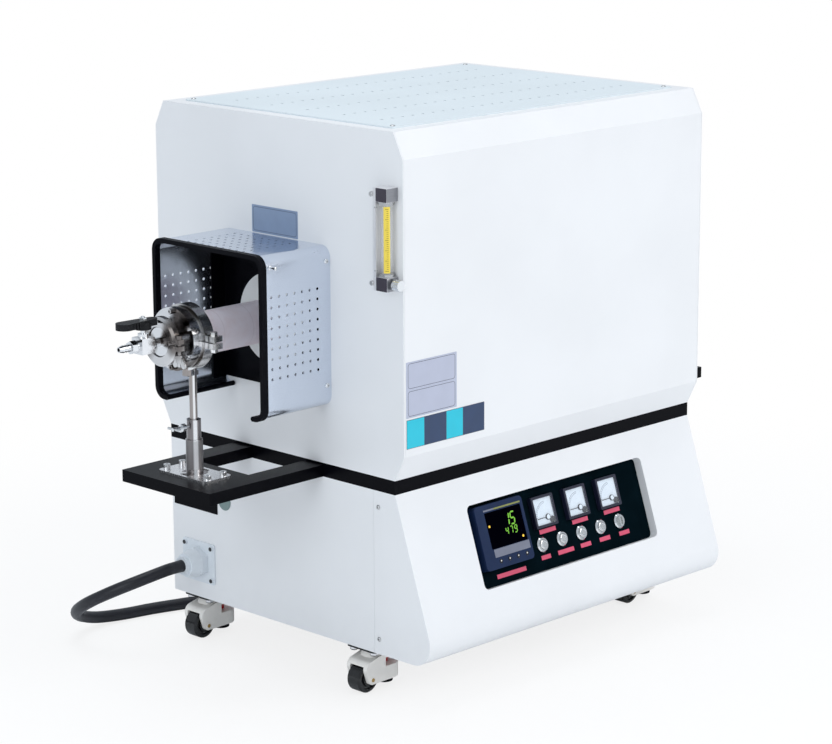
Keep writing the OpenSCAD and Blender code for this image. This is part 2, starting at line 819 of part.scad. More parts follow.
module clamp_screw() color("gainsboro") home() translate([post_x, 0, screw_z]) {
  rod_x(rod_d / 2 + fit_gap, screw_reach - rod_d / 2, 2.6);
  rod_x(17, 6, 5.5);
  translate([screw_reach - 3, 0, 0]) rod_y(26, 1.8);
}

module left_clamp_screw() mirror([1, 0, 0]) clamp_screw();
module right_clamp_screw() clamp_screw();

// ---------------------------------------------------------------- control panel

module control_panel() color("black") home() {
  margin = 9;
  on_front(0, panel_mid_s, -panel_recess - panel_t) difference() {
    linear_extrude(panel_t) rrect(panel_w + 2 * margin, panel_h + 2 * margin, 10);
    translate([0, panel_mid_s, -1]) {
      translate([ctl_x, -ctl_s, 0]) linear_extrude(panel_t + 2) square([ctl_body_w + 0.6, ctl_body_h + 0.6], center = true);
      for (i = [-1 : 1]) translate([meter_x + i * meter_pitch, -meter_s, 0])
        cylinder(h = panel_t + 2, d = meter_barrel_d + 0.6);
      for (i = [0 : 4]) translate([button_x + i * button_pitch, -button_s, 0])
        cylinder(h = panel_t + 2, d = barrel_d + 0.6);
    }
  }
}

module controller_case() color("steelblue") home() on_front(ctl_x, ctl_s, -panel_recess) {
  difference() {
    union() {
      translate([0, 0, seam / 10]) linear_extrude(ctl_proud) rrect(ctl_w, ctl_h, 6);
      translate([0, 0, -ctl_depth]) linear_extrude(ctl_depth + 1) rrect(ctl_body_w, ctl_body_h, 3);
    }
    // Window recess and the wells of the keys
    translate([ctl_window[0], ctl_window[1], ctl_proud - 1]) linear_extrude(3) rrect(74.5, 52.5, 1.5);
    for (i = [0 : 3]) translate([ctl_key_x - ctl_x + (i - 1.5) * ctl_key_pitch, ctl_s - ctl_key_s, ctl_proud - 3])
      cylinder(h = 5, d = ctl_key_d + 2 * fit_gap);
  }
}

module controller_key(i) color("darkslategray") home()
  on_front(ctl_key_x + (i - 2.5) * ctl_key_pitch, ctl_key_s, -panel_recess + ctl_proud - 2) {
    cylinder(h = 2.2, d = ctl_key_d);
    translate([0, 0, 2.2]) cylinder(h = 0.8, r1 = ctl_key_d / 2, r2 = ctl_key_d / 2 - 0.8);
  }

module controller_key_1() controller_key(1);
module controller_key_2() controller_key(2);
module controller_key_3() controller_key(3);
module controller_key_4() controller_key(4);

module meter_cases() color("black") home() for (i = [-1 : 1])
  on_front(meter_x + i * meter_pitch, meter_s, -panel_recess + seam / 10) {
    difference() {
      union() {
        linear_extrude(meter_proud) rrect(meter_w, meter_w, 2);
        translate([0, 0, -28]) cylinder(h = 29, d = meter_barrel_d);
      }
      translate([0, 0, meter_proud - meter_pocket]) linear_extrude(meter_pocket + 1)
        rrect(meter_w - 2 * meter_rim, meter_w - 2 * meter_rim, 1);
    }
    // Pivot of the needle and its zero screw
    translate([needle_x, -needle_s, meter_proud - meter_pocket - eps]) cylinder(h = 1.6, r = 1);
    translate([zero_screw[0], zero_screw[1], meter_proud - meter_pocket - eps]) cylinder(h = 2, r = 4.5);
  }

module meter_needle(i) color("dimgray") home()
  on_front(meter_x + (i - 2) * meter_pitch + needle_x, meter_s + needle_s,
    -panel_recess + seam / 10 + meter_proud - meter_pocket + 0.4) {
    difference() {
      cylinder(h = 1.9, r = 4.3);
      translate([0, 0, -1]) cylinder(h = 2.4, r = 1 + run_gap);
    }
    translate([-needle_len, -0.5, 0.8]) cube([needle_len - 3, 1, 0.6]);
  }

module meter_needle_1() meter_needle(1);
module meter_needle_2() meter_needle(2);
module meter_needle_3() meter_needle(3);

module button_bezels() color("silver") home() for (i = [0 : 4])
  on_front(button_x + i * button_pitch, button_s, -panel_recess + seam / 10) difference() {
    union() {
      rotate_extrude() polygon([
        [0, 0], [button_d / 2, 0], [button_d / 2, bezel_proud - 1.5], [button_d / 2 - 1.5, bezel_proud], [0, bezel_proud]
      ]);
      translate([0, 0, -barrel_len]) cylinder(h = barrel_len + 1, d = barrel_d);
    }
    translate([0, 0, -barrel_len + 3]) cylinder(h = barrel_len + 10, d = plunger_d + 2 * fit_gap);
  }

module push_button(i) color("gainsboro") home()
  on_front(button_x + (i - 1) * button_pitch, button_s, -panel_recess + bezel_proud) {
    translate([0, 0, -20]) cylinder(h = 21.5, d = plunger_d);
    translate([0, 0, 1.5]) rotate_extrude() polygon([
      [0, 0], [plunger_d / 2, 0], [plunger_d / 2 - 0.6, 0.7], [plunger_d / 4, 1.3], [0, 1.5]
    ]);
  }

module push_button_1() push_button(1);
module push_button_2() push_button(2);
module push_button_3() push_button(3);
module push_button_4() push_button(4);

module key_switch() color("gainsboro") home()
  on_front(button_x + 4 * button_pitch, button_s, -panel_recess + bezel_proud) {
    difference() {
      translate([0, 0, -20]) cylinder(h = 21, d = plunger_d);
      translate([0, 0, 1]) cube([1.6, 9, 3], center = true);
    }
    for (side = [-1, 1]) translate([side * 3, 0, 2]) cube([2.4, 11, 3], center = true);
  }

// ---------------------------------------------------------------- flow meter

module rotameter_body() color("silver") home() translate([rota_x, rota_mid_y, 0]) {
  channel_t = 5;
  back_y = rota_w / 2;
  difference() {
    union() {
      // Back channel and the two end blocks
      translate([-rota_w / 2, back_y, rota_bottom_z]) cube([rota_w, channel_t, rota_h]);
      for (z = [rota_bottom_z, rota_top_z - rota_block_h])
        translate([-rota_w / 2, -rota_w / 2, z]) cube([rota_w, rota_w + 1, rota_block_h]);
      // Foot of the channel against the housing
      translate([rota_w / 2 - 3, back_y, rota_bottom_z]) cube([3.5, 10, rota_h]);
      // Gas connections behind
      for (z = [rota_bottom_z, rota_top_z - rota_block_h])
        translate([0, back_y + channel_t + 5.5, z + rota_block_h / 2]) {
          rod_y(13, 3);
          translate([0, -3, 0]) rod_y(6, 5);
        }
      // Union rings at the tube's ends
      translate([0, 0, rota_bottom_z + rota_block_h - eps]) cylinder(h = 4, r = rota_w / 2 - 1);
      translate([0, 0, rota_top_z - rota_block_h - 4 + eps]) cylinder(h = 4, r = rota_w / 2 - 1);
    }
    // Seat of the tube in the rings, and the bore of the valve stem
    translate([0, 0, rota_bottom_z + rota_block_h]) cylinder(h = rota_h - 2 * rota_block_h, r = rota_tube_r + fit_gap / 2);
    translate([0, -rota_w / 2, rota_bottom_z + rota_block_h / 2]) rod_y(20, 3 + run_gap);
  }
}

module rotameter_tube() color("khaki", 0.6) home() translate([rota_x, rota_mid_y, rota_bottom_z + rota_block_h]) {
  difference() {
    translate([0, 0, fit_gap / 2]) cylinder(h = rota_h - 2 * rota_block_h - fit_gap, r = rota_tube_r);
    translate([0, 0, 8]) cylinder(h = rota_h, r = rota_bore_r);
  }
}

module rotameter_float() color("black") home() translate([rota_x, rota_mid_y, float_z]) {
  cylinder(h = 5, r1 = 1.6, r2 = rota_bore_r - 0.3);
  translate([0, 0, 5]) cylinder(h = 2, r = rota_bore_r - 0.3);
}

module rotameter_knob() color("silver") home()
  translate([rota_x, rota_front_y, rota_bottom_z + rota_block_h / 2]) rotate([90, 0, 0]) {
    translate([0, 0, -9]) cylinder(h = 13, r = 3);
    translate([0, 0, 1]) cylinder(h = 3, r = 5);
    difference() {
      translate([0, 0, 4]) cylinder(h = 12, r = 7.5);
      for (a = [0 : 30 : 330]) rotate([0, 0, a]) translate([8.2, 0, 7]) cylinder(h = 12, r = 1.2, $fn = 16);
    }
  }

// ---------------------------------------------------------------- supply cable

module cable_gland() color("ivory") home() translate([0, gland_y, gland_z]) mirror([1, 0, 0]) {
  bore_r = cord_d / 2 + fit_gap;
  difference() {
    union() {
      from_x(half_w, 2.5) rrect(70, 62, 4);
      translate([half_w + 2, 0, 0]) rotate([0, 90, 0]) cylinder(h = 12, r = 24, $fn = 6);
      translate([half_w + 13, 0, 0]) rotate([0, 90, 0]) cylinder(h = gland_len - 19, r1 = 22, r2 = 17);
      rod_x(half_w + gland_len - 7, 7, 13.5);
    }
    rod_x(half_w + 4, gland_len, bore_r);
  }
  // Fixing screws of the plate
  for (sy = [-1, 1], sz = [-1, 1]) translate([0, sy * 29, sz * 24.5]) rod_x(half_w + 2.5 - eps, 2.5, 4);
}

// Sweeps a round tube of diameter d along a list of points
module swept_tube(path, d, sides = 10) {
  n = len(path);
  function ahead(i) = path[min(i + 1, n - 1)] - path[max(i - 1, 0)];
  function unit(v) = v / norm(v);
  function across(t) = unit(cross([0, 0, 1], t));
  rings = [for (i = [0 : n - 1], k = [0 : sides - 1])
    let (t = unit(ahead(i)), u = across(t), v = cross(t, u), a = k * 360 / sides)
      path[i] + d / 2 * (cos(a) * u + sin(a) * v)];
  walls = [for (i = [0 : n - 2], k = [0 : sides - 1])
    let (m = (k + 1) % sides) [i * sides + k, i * sides + m, (i + 1) * sides + m, (i + 1) * sides + k]];
  start = [for (k = [sides - 1 : -1 : 0]) k];
  end = [for (k = [0 : sides - 1]) (n - 1) * sides + k];
  polyhedron(points = rings, faces = concat([start], [end], walls));
}

module cord_run() color("black") {
  swept_tube(cord_route, cord_d);
  swept_tube(cord_tail, cord_d);
}

module cord_coil() color("black") translate([coil_centre[0], coil_centre[1], 0])
  rotate_extrude() translate([coil_r - cord_d / 2, 0]) square([cord_d, (coil_turns + 1) * cord_d]);

module cord_plug() color("royalblue") translate(plug_start) {
  rod_x(0, 30, plug_neck_r);
  rod_x(28, plug_len - plug_mouth - 28 + 5, plug_grip_r);
  difference() {
    rod_x(plug_len - plug_mouth, plug_mouth, plug_r);
    rod_x(plug_len - plug_mouth + 9, plug_mouth, plug_r - plug_wall);
  }
  for (a = [90, 210, 330]) rotate([a, 0, 0]) translate([0, 13, 0]) rod_x(plug_len - 40, 32, plug_pin_r);
}

// ---------------------------------------------------------------- power supply in the lower cabinet

module power_unit() color("dimgray") home() translate([0, 0, cab_z + sheet_t + seam]) {
  // Transformer: laminated core with two windings, standing on its skids
  translate([core_at[0], core_at[1], 0]) {
    for (y = [-20, 20]) translate([0, y, skid_size[2] / 2]) cube(skid_size, center = true);
    translate([0, 0, skid_size[2] + core_size[2] / 2]) cube(core_size, center = true);
    for (x = [-38, 38]) translate([x, 0, skid_size[2] + core_size[2] / 2]) cube(winding_size, center = true);
  }
  // Power controller with its finned heat sink
  translate([sink_at[0], sink_at[1], 0]) {
    cube([sink_size[0], sink_size[1], sink_base]);
    for (i = [0 : fin_count - 1]) translate([i * fin_pitch, 0, sink_base - 1]) cube([fin_t, sink_size[1], 40]);
    translate([0, 0, sink_size[2] - sink_top]) cube([sink_size[0], sink_size[1], sink_top]);
    translate([20, 15, sink_size[2] - 1]) cube(driver_size);
  }
}

// ---------------------------------------------------------------- casters

// Places a caster piece: side -1 left, 1 right; end -1 front, 1 rear
module at_caster(side, end) home()
  translate([side * (half_w - caster_in), end < 0 ? front_y + caster_front : rear_y - caster_rear, 0]) children();

module each_caster() for (side = [-1, 1], end = [-1, 1]) at_caster(side, end) children();

module caster_plates() color("dimgray") each_caster() {
  difference() {
    translate([0, 0, caster_h - caster_plate_t]) linear_extrude(caster_plate_t) rrect(caster_plate, caster_plate, 5);
    each_caster_bolt() translate([0, 0, caster_h - 10]) cylinder(h = 20, d = caster_hole_d);
  }
  translate([0, 0, caster_h - caster_plate_t - swivel_pin_len]) cylinder(h = swivel_pin_len + eps, r = swivel_pin_r);
  each_caster_bolt() {
    translate([0, 0, caster_h - 10]) cylinder(h = 10, r = 4);
    translate([0, 0, caster_h - caster_plate_t - 5]) cylinder(h = 5, r = 6.2, $fn = 6);
  }
}

module each_caster_bolt() for (sx = [-1, 1], sy = [-1, 1])
  translate([sx * caster_hole_pitch / 2, sy * caster_hole_pitch / 2, 0]) children();

// Moulded swivel housing with the wheel pocket and the well of the levelling foot
module fork() color("ivory") {
  difference() {
    union() {
      intersection() {
        rotate([90, 0, 0]) translate([0, 0, -fork_w / 2]) linear_extrude(fork_w) hull() {
          translate([foot_offset + fork_w / 2 - 8, fork_top - 15]) circle(8);
          translate([foot_offset + fork_w / 2 - 6, fork_low + 6]) circle(6);
          translate([0, fork_top - 22]) circle(14);
          translate([-wheel_trail, 36]) circle(12);
          translate([-wheel_trail, axle_z]) circle(7);
        }
        linear_extrude(fork_top) hull() {
          translate([-28, 0]) square([16, fork_w], center = true);
          translate([foot_offset, 0]) circle(fork_w / 2);
        }
      }
      translate([0, 0, fork_top - 12]) cylinder(h = 12, r1 = 20, r2 = 15);
    }
    translate([-wheel_trail, 0, axle_z]) rod_y(wheel_w + 1.6, wheel_d / 2 + pocket_gap);
    translate([0, 0, fork_top - swivel_pin_len - 1]) cylinder(h = swivel_pin_len + 2, r = swivel_pin_r + run_gap);
    translate([foot_offset - 16, -fork_w, window_low]) cube([fork_w, 2 * fork_w, window_top - window_low]);
    translate([foot_offset, 0, 0]) cylinder(h = 52.5, r = foot_r + run_gap);
  }
  // Axle
  translate([-wheel_trail, 0, axle_z]) rod_y(fork_w + 2, axle_r);
}

module caster_wheel() color("dimgray") translate([-wheel_trail, 0, axle_z]) rotate([90, 0, 0])
  rotate_extrude() translate([0, -wheel_w / 2]) polygon([
    [axle_r + run_gap, 0], [10, 0], [11, 2.5], [14, 2.5], [15, 0], [wheel_d / 2 - 2.5, 0], [wheel_d / 2, 2.5],
    [wheel_d / 2, wheel_w - 2.5], [wheel_d / 2 - 2.5, wheel_w], [15, wheel_w], [14, wheel_w - 2.5],
    [11, wheel_w - 2.5], [10, wheel_w], [axle_r + run_gap, wheel_w]
  ]);

// Levelling foot: rubber pad, threaded stem and the thumbwheel that turns it
module levelling_foot() color("firebrick") translate([foot_offset, 0, 0]) {
  translate([0, 0, pad_z]) cylinder(h = pad_t, r = pad_r);
  translate([0, 0, pad_z]) cylinder(h = window_top + 4 - pad_z, r = foot_r);
  difference() {
    translate([0, 0, window_top - thumb_h - fit_gap]) cylinder(h = thumb_h, r = thumb_r);
    for (a = [0 : 24 : 336]) rotate([0, 0, a]) translate([thumb_r + 0.6, 0, 0]) cylinder(h = 60, r = 1.3, $fn = 16);
  }
}

module fork_front_left() at_caster(-1, -1) fork();
module fork_front_right() at_caster(1, -1) fork();
module fork_rear_left() at_caster(-1, 1) fork();
module fork_rear_right() at_caster(1, 1) fork();
module wheel_front_left() at_caster(-1, -1) caster_wheel();
module wheel_front_right() at_caster(1, -1) caster_wheel();
module wheel_rear_left() at_caster(-1, 1) caster_wheel();
module wheel_rear_right() at_caster(1, 1) caster_wheel();
module foot_front_left() at_caster(-1, -1) levelling_foot();
module foot_front_right() at_caster(1, -1) levelling_foot();
module foot_rear_left() at_caster(-1, 1) levelling_foot();
module foot_rear_right() at_caster(1, 1) levelling_foot();

// ---------------------------------------------------------------- drawing

belt_frame();
upper_housing();
top_vent_panel();
lower_cabinet();
front_fascia();
control_panel();
controller_case();
meter_cases();
button_bezels();
insulation();
heating_elements();
furnace_tube();
end_plates();
guards();
guard_trims();
sealing_flanges();
gas_fittings();
kf_clamps();
tube_clamp_caps();
post_sockets();
rotameter_body();
rotameter_tube();
cable_gland();
cord_run();
cord_coil();
cord_plug();
power_unit();
caster_plates();
fork_front_left();
fork_front_right();
fork_rear_left();
fork_rear_right();
wheel_front_left();
wheel_front_right();
wheel_rear_left();
wheel_rear_right();
foot_front_left();
foot_front_right();
foot_rear_left();
foot_rear_right();
push_button_1();
push_button_2();
push_button_3();
push_button_4();
key_switch();
controller_key_1();
controller_key_2();
controller_key_3();
controller_key_4();
meter_needle_1();
meter_needle_2();
meter_needle_3();
left_valve_lever();
right_valve_lever();
rotameter_float();
rotameter_knob();
left_post_rod();
right_post_rod();
left_clamp_screw();
right_clamp_screw();
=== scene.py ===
"""Dresses the tube furnace: finishes for its solids, and the small pieces that they carry."""

from __future__ import annotations

import logging
import math
from collections.abc import Sequence
from dataclasses import dataclass
from enum import Enum

import bmesh
import bpy
import numpy as np
from mathutils import Matrix

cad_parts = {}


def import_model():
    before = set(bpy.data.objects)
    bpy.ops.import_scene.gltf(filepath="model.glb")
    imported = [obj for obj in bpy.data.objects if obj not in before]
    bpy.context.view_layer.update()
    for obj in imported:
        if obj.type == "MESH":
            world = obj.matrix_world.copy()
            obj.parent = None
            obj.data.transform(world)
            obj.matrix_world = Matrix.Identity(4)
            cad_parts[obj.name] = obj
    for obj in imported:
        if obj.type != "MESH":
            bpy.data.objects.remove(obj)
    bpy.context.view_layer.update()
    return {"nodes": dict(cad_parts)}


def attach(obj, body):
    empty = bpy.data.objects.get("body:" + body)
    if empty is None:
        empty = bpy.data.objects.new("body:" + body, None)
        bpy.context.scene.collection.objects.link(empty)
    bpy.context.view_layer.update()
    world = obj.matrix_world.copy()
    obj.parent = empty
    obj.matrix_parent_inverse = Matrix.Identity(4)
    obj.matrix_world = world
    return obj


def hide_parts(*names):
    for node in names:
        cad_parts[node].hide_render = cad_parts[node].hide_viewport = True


Triple = tuple[float, float, float]
Profile = Sequence[tuple[float, float]]

LOG = logging.getLogger("tube_furnace")
MM = 0.001
ROOT = "furnace"

# Planes and levels of the furnace in millimetres, from the floor and from its middle. RAKE is the front's
# lean in radians, and TUBE_Y is the tube's axis in metres.
HOME_Y = 24.0688
HALF_W = 315.0
FRONT_Y = HOME_Y - 252.5
REAR_Y = HOME_Y + 252.5
BELT_FRONT_Y = HOME_Y - 234.5
CABINET_REAR_Y = HOME_Y + 234.5
CABINET_Z = 66.0
BELT_Z = 302.0
DECK_Z = 322.0
AXIS_Z = 516.0
TOP_Z = 802.0
RAKE = math.radians(18.4)
TUBE_Y = HOME_Y * MM


def tone(red: float, green: float, blue: float) -> Triple:
    """Turns a screen colour, 0 to 255, into the linear colour that a shader takes.

    Args:
        red, green, blue: the screen values.

    Returns:
        The three linear values: each is ((c + 0.055) / 1.055) ** 2.4, or c / 12.92 when dark.
    """
    c = np.array([red, green, blue]) / 255.0
    linear = np.where(c > 0.04045, ((c + 0.055) / 1.055) ** 2.4, c / 12.92)
    return tuple(float(v) for v in linear)


# ------------------------------------------------------------------ shader expressions


class Sock:
    """A shader socket that takes part in Python expressions; each operator adds a Math node."""

    def __init__(self, graph: "Graph", socket: bpy.types.NodeSocket) -> None:
        """Keeps the graph and the socket."""
        self.graph = graph
        self.socket = socket

    def _math(self, operation: str, *values: "Sock | float") -> "Sock":
        """Adds one Math node.

        Args:
            operation: the node's operation.
            values: its inputs, in order.

        Returns:
            The node's result.
        """
        inputs = dict(enumerate(values))
        return self.graph.node("ShaderNodeMath", {"operation": operation}, inputs)

    def __add__(self, other: "Sock | float") -> "Sock":
        """self + other."""
        return self._math("ADD", self, other)

    __radd__ = __add__

    def __sub__(self, other: "Sock | float") -> "Sock":
        """self - other."""
        return self._math("SUBTRACT", self, other)

    def __rsub__(self, other: "Sock | float") -> "Sock":
        """other - self."""
        return self._math("SUBTRACT", other, self)

    def __mul__(self, other: "Sock | float") -> "Sock":
        """self * other."""
        return self._math("MULTIPLY", self, other)

    __rmul__ = __mul__

    def __truediv__(self, other: "Sock | float") -> "Sock":
        """self / other."""
        return self._math("DIVIDE", self, other)

    def __rtruediv__(self, other: "Sock | float") -> "Sock":
        """other / self."""
        return self._math("DIVIDE", other, self)

    def __abs__(self) -> "Sock":
        """The size of self."""
        return self._math("ABSOLUTE", self)

    def sine(self) -> "Sock":
        """The sine of self, in radians."""
        return self._math("SINE", self)

    def root(self) -> "Sock":
        """The square root of self."""
        return self._math("SQRT", self)

    def angle(self, other: "Sock | float") -> "Sock":
        """The angle whose tangent is self / other."""
        return self._math("ARCTAN2", self, other)

    def ping(self, period: float) -> "Sock":
        """A triangle wave of self, 0 to period and back."""
        return self._math("PINGPONG", self, period)

    def above(self, limit: float) -> "Sock":
        """1 where self is above limit, and 0 elsewhere."""
        return self._math("GREATER_THAN", self, limit)

    def at_most(self, other: "Sock | float") -> "Sock":
        """The smaller of self and other."""
        return self._math("MINIMUM", self, other)

    def at_least(self, other: "Sock | float") -> "Sock":
        """The larger of self and other."""
        return self._math("MAXIMUM", self, other)

    def ramp(self, low: float, high: float, start: float = 0.0, end: float = 1.0) -> "Sock":
        """Carries self from low..high to start..end along a smooth step.

        Args:
            low, high: the values of self where the step starts and ends.
            start, end: the results there.

        Returns:
            The smooth step's value.
        """
        inputs = {0: self, 1: low, 2: high, 3: start, 4: end}
        return self.graph.node("ShaderNodeMapRange", {"interpolation_type": "SMOOTHSTEP"}, inputs)


class Graph:
    """The node tree of one material, or of the world."""

    def __init__(self, name: str, world: bool = False) -> None:
        """Starts an empty tree.

        Args:
            name: the name of the material or world.
            world: makes a world instead of a material.
        """
        self.material = (bpy.data.worlds if world else bpy.data.materials).new(name)
        self.material.use_nodes = True
        self.tree = self.material.node_tree
        self.tree.nodes.clear()

    def node(
        self, kind: str, settings: dict | None = None, inputs: dict | None = None, output: int | str = 0
    ) -> Sock:
        """Adds any node: its settings are set first, then the values or links of its sockets.

        Args:
            kind: the node's type.
            settings: attributes of the node.
            inputs: socket name or number to a value or a Sock.
            output: the socket that is returned.

        Returns:
            The chosen output.
        """
        node = self.tree.nodes.new(kind)
        for key, value in (settings or {}).items():
            setattr(node, key, value)
        for key, value in (inputs or {}).items():
            if isinstance(value, Sock):
                self.tree.links.new(value.socket, node.inputs[key])
            else:
                node.inputs[key].default_value = value
        return Sock(self, node.outputs[output]) if len(node.outputs) else Sock(self, None)

    def coords(self, centre: Triple = (0, 0, 0), scale: Triple = (1, 1, 1)) -> Sock:
        """The surface point in the object's frame.

        Args:
            centre: the point that becomes the origin, in metres.
            scale: a factor along each axis, after centring.

        Returns:
            (point - centre) * scale.
        """
        point = self.node("ShaderNodeTexCoord", output="Object")
        moved = self.node("ShaderNodeVectorMath", {"operation": "SUBTRACT"}, {0: point, 1: centre})
        return self.node("ShaderNodeVectorMath", {"operation": "MULTIPLY"}, {0: moved, 1: scale})

    def split(self, vector: Sock) -> tuple[Sock, Sock, Sock]:
        """The three parts of a vector.

        Args:
            vector: the vector's socket.

        Returns:
            Its x, y and z.
        """
        parts = self.node("ShaderNodeSeparateXYZ", inputs={0: vector})
        node = parts.socket.node
        return tuple(Sock(self, s) for s in node.outputs)

    def noise(self, vector: Sock, scale: float, detail: float = 2.0, roughness: float = 0.5) -> Sock:
        """Cloudy noise, 0 to 1.

        Args:
            vector: where it is read.
            scale: its grains per metre.
            detail: its octaves.
            roughness: how strong the fine octaves are.

        Returns:
            The noise's value.
        """
        inputs = {"Vector": vector, "Scale": scale, "Detail": detail, "Roughness": roughness}
        return self.node("ShaderNodeTexNoise", None, inputs)

    def mix(self, factor: Sock | float, low: tuple | Sock, high: tuple | Sock) -> Sock:
        """A colour between two others.

        Args:
            factor: 0 for low, 1 for high.
            low, high: linear colours or colour sockets.

        Returns:
            The mixed colour.
        """
        inputs = {0: factor}
        for key, value in ((6, low), (7, high)):
            inputs[key] = value if isinstance(value, Sock) else (*value, 1.0)
        return self.node("ShaderNodeMix", {"data_type": "RGBA"}, inputs, output=2)

    def bump(self, height: Sock, depth: float) -> Sock:
        """A normal bent by a height map.

        Args:
            height: the map, 0 to 1.
            depth: how tall a height of 1 is, in metres.

        Returns:
            The normal.
        """
        return self.node("ShaderNodeBump", None, {"Strength": 1.0, "Distance": depth, "Height": height})

    def surface(self, **inputs: "Sock | float | tuple") -> bpy.types.Material:
        """Ends the material in a Principled shader.

        Args:
            inputs: socket names, with _ for a space, to values or links.

        Returns:
            The finished material.
        """
        named = {}
        for key, value in inputs.items():
            if isinstance(value, tuple) and len(value) == 3 and "Color" in key:
                value = (*value, 1.0)
            named[key.replace("_", " ")] = value
        shader = self.node("ShaderNodeBsdfPrincipled", None, named)
        self.node("ShaderNodeOutputMaterial", None, {"Surface": shader})
        return self.material


# ------------------------------------------------------------------ finishes


@dataclass(frozen=True)
class Finish:
    """A finish: its name, its colour and its roughness."""

    name: str
    colour: Triple
    rough: float = 0.5

    def build(self) -> bpy.types.Material:
        """Makes the material."""
        raise NotImplementedError


@dataclass(frozen=True)
class PowderCoat(Finish):
    """Baked powder paint: a fine orange peel, faint clouds of gloss, and a mottled darkening towards the
    bottom.
    """

    peel: float = 0.00006
    grain: float = 420.0
    cloud: float = 0.04
    # How much darker the bottom gets, and the heights over which that darkening fades out.
    low_darkening: float = 0.0
    low_darkening_z: tuple[float, float] = (0.06, 0.16)
    shine: float = 0.45

    def build(self) -> bpy.types.Material:
        """Makes the material: peel is noise in the normal, clouds are slow noise in colour and gloss.

        Returns:
            The material.
        """
        g = Graph(self.name)
        p = g.coords()
        clouds = g.noise(p, 5.0, 3.0)
        fine = g.noise(p, self.grain, 2.0, 0.6)
        darker = tuple(c * (1 - self.cloud) for c in self.colour)
        colour = g.mix(clouds.ramp(0.3, 0.7), darker, self.colour)
        # Mottled darkening towards the bottom of the part, by height and noise.
        if self.low_darkening:
            _, _, z = g.split(p)
            low = z.ramp(*self.low_darkening_z, self.low_darkening, 0.0) * g.noise(p, 60.0, 4.0).ramp(0.3, 0.75)
            colour = g.mix(low, colour, tuple(c * 0.8 for c in self.colour))
        rough = clouds * 0.10 + (self.rough - 0.05)
        normal = g.bump(fine, self.peel)
        return g.surface(Base_Color=colour, Roughness=rough, Normal=normal, Specular_IOR_Level=self.shine)


class Run(Enum):
    """The way that a brushed grain runs: its three factors of stretch."""

    ALONG_X = (0.03, 1.0, 1.0)
    ALONG_Z = (1.0, 1.0, 0.03)
    EVERY_WAY = (1.0, 1.0, 1.0)


@dataclass(frozen=True)
class BrushedSteel(Finish):
    """Rolled or brushed stainless sheet, with a grain along one axis and faint handling marks."""

    run: Run = Run.ALONG_X
    depth: float = 0.000012
    contrast: float = 0.14

    def build(self) -> bpy.types.Material:
        """Makes the material: stretched noise makes the grain, and slow noise the marks.

        Returns:
            The material.
        """
        g = Graph(self.name)
        p = g.coords()
        streaks = g.noise(g.coords(scale=self.run.value), 900.0, 3.0, 0.65)
        marks = g.noise(p, 22.0, 4.0, 0.6).ramp(0.45, 0.75)
        dark = tuple(c * (1 - self.contrast) for c in self.colour)
        colour = g.mix(streaks.ramp(0.25, 0.75), dark, self.colour)
        rough = streaks * self.contrast + marks * 0.10 + (self.rough - 0.05 - self.contrast / 2)
        normal = g.bump(streaks, self.depth)
        return g.surface(Base_Color=colour, Metallic=1.0, Roughness=rough, Normal=normal)


@dataclass(frozen=True)
class TurnedSteel(Finish):
    """Lathe-turned steel about the work tube: fine rings, and painted highlights and painted dark
    reflections in fans round the axis.
    """

    pitch: float = 0.0007
    ring_depth: float = 0.000010
    # How many painted reflection fans, light and dark, go round the axis.
    reflection_fans: float = 3.0
    twist: float = 36.0
    # Beyond this distance along the tube the painted reflection fans stop, and the steel keeps its bright
    # colour.
    plain_from: float = 9.0
    # Colour of the painted dark reflections in the fans.
    shadow: Triple = (0.17, 0.15, 0.14)

    def build(self) -> bpy.types.Material:
        """Makes the material: rings follow the radius and the length, and the painted reflection fans,
        light and dark, follow the angle about the axis.

        Returns:
            The material.
        """
        g = Graph(self.name)
        p = g.coords(centre=(0.0, TUBE_Y, AXIS_Z * MM))
        x, y, z = g.split(p)
        radius = (y * y + z * z).root()
        wobble = g.noise(p, 30.0, 3.0)
        rings = (radius / self.pitch + abs(x) / self.pitch + wobble).ping(0.5) * 2.0
        # Painted reflection: light and dark fans by the angle about the axis, the dark ones in the shadow
        # colour.
        reflection_fan = (y.angle(z) * self.reflection_fans + wobble * 1.4 + abs(x) * self.twist).sine().ramp(-0.75, 0.55)
        smear = g.noise(p, 75.0, 4.0, 0.6).ramp(0.35, 0.75)
        bright = g.mix(rings * 0.6, self.colour, tuple(c * 0.80 for c in self.colour))
        colour = g.mix(reflection_fan.at_least(abs(x).above(self.plain_from)), self.shadow, bright)
        rough = rings * 0.06 + smear * 0.12 + (self.rough - 0.08)
        normal = g.bump(rings, self.ring_depth)
        return g.surface(Base_Color=colour, Metallic=1.0, Roughness=rough, Normal=normal)


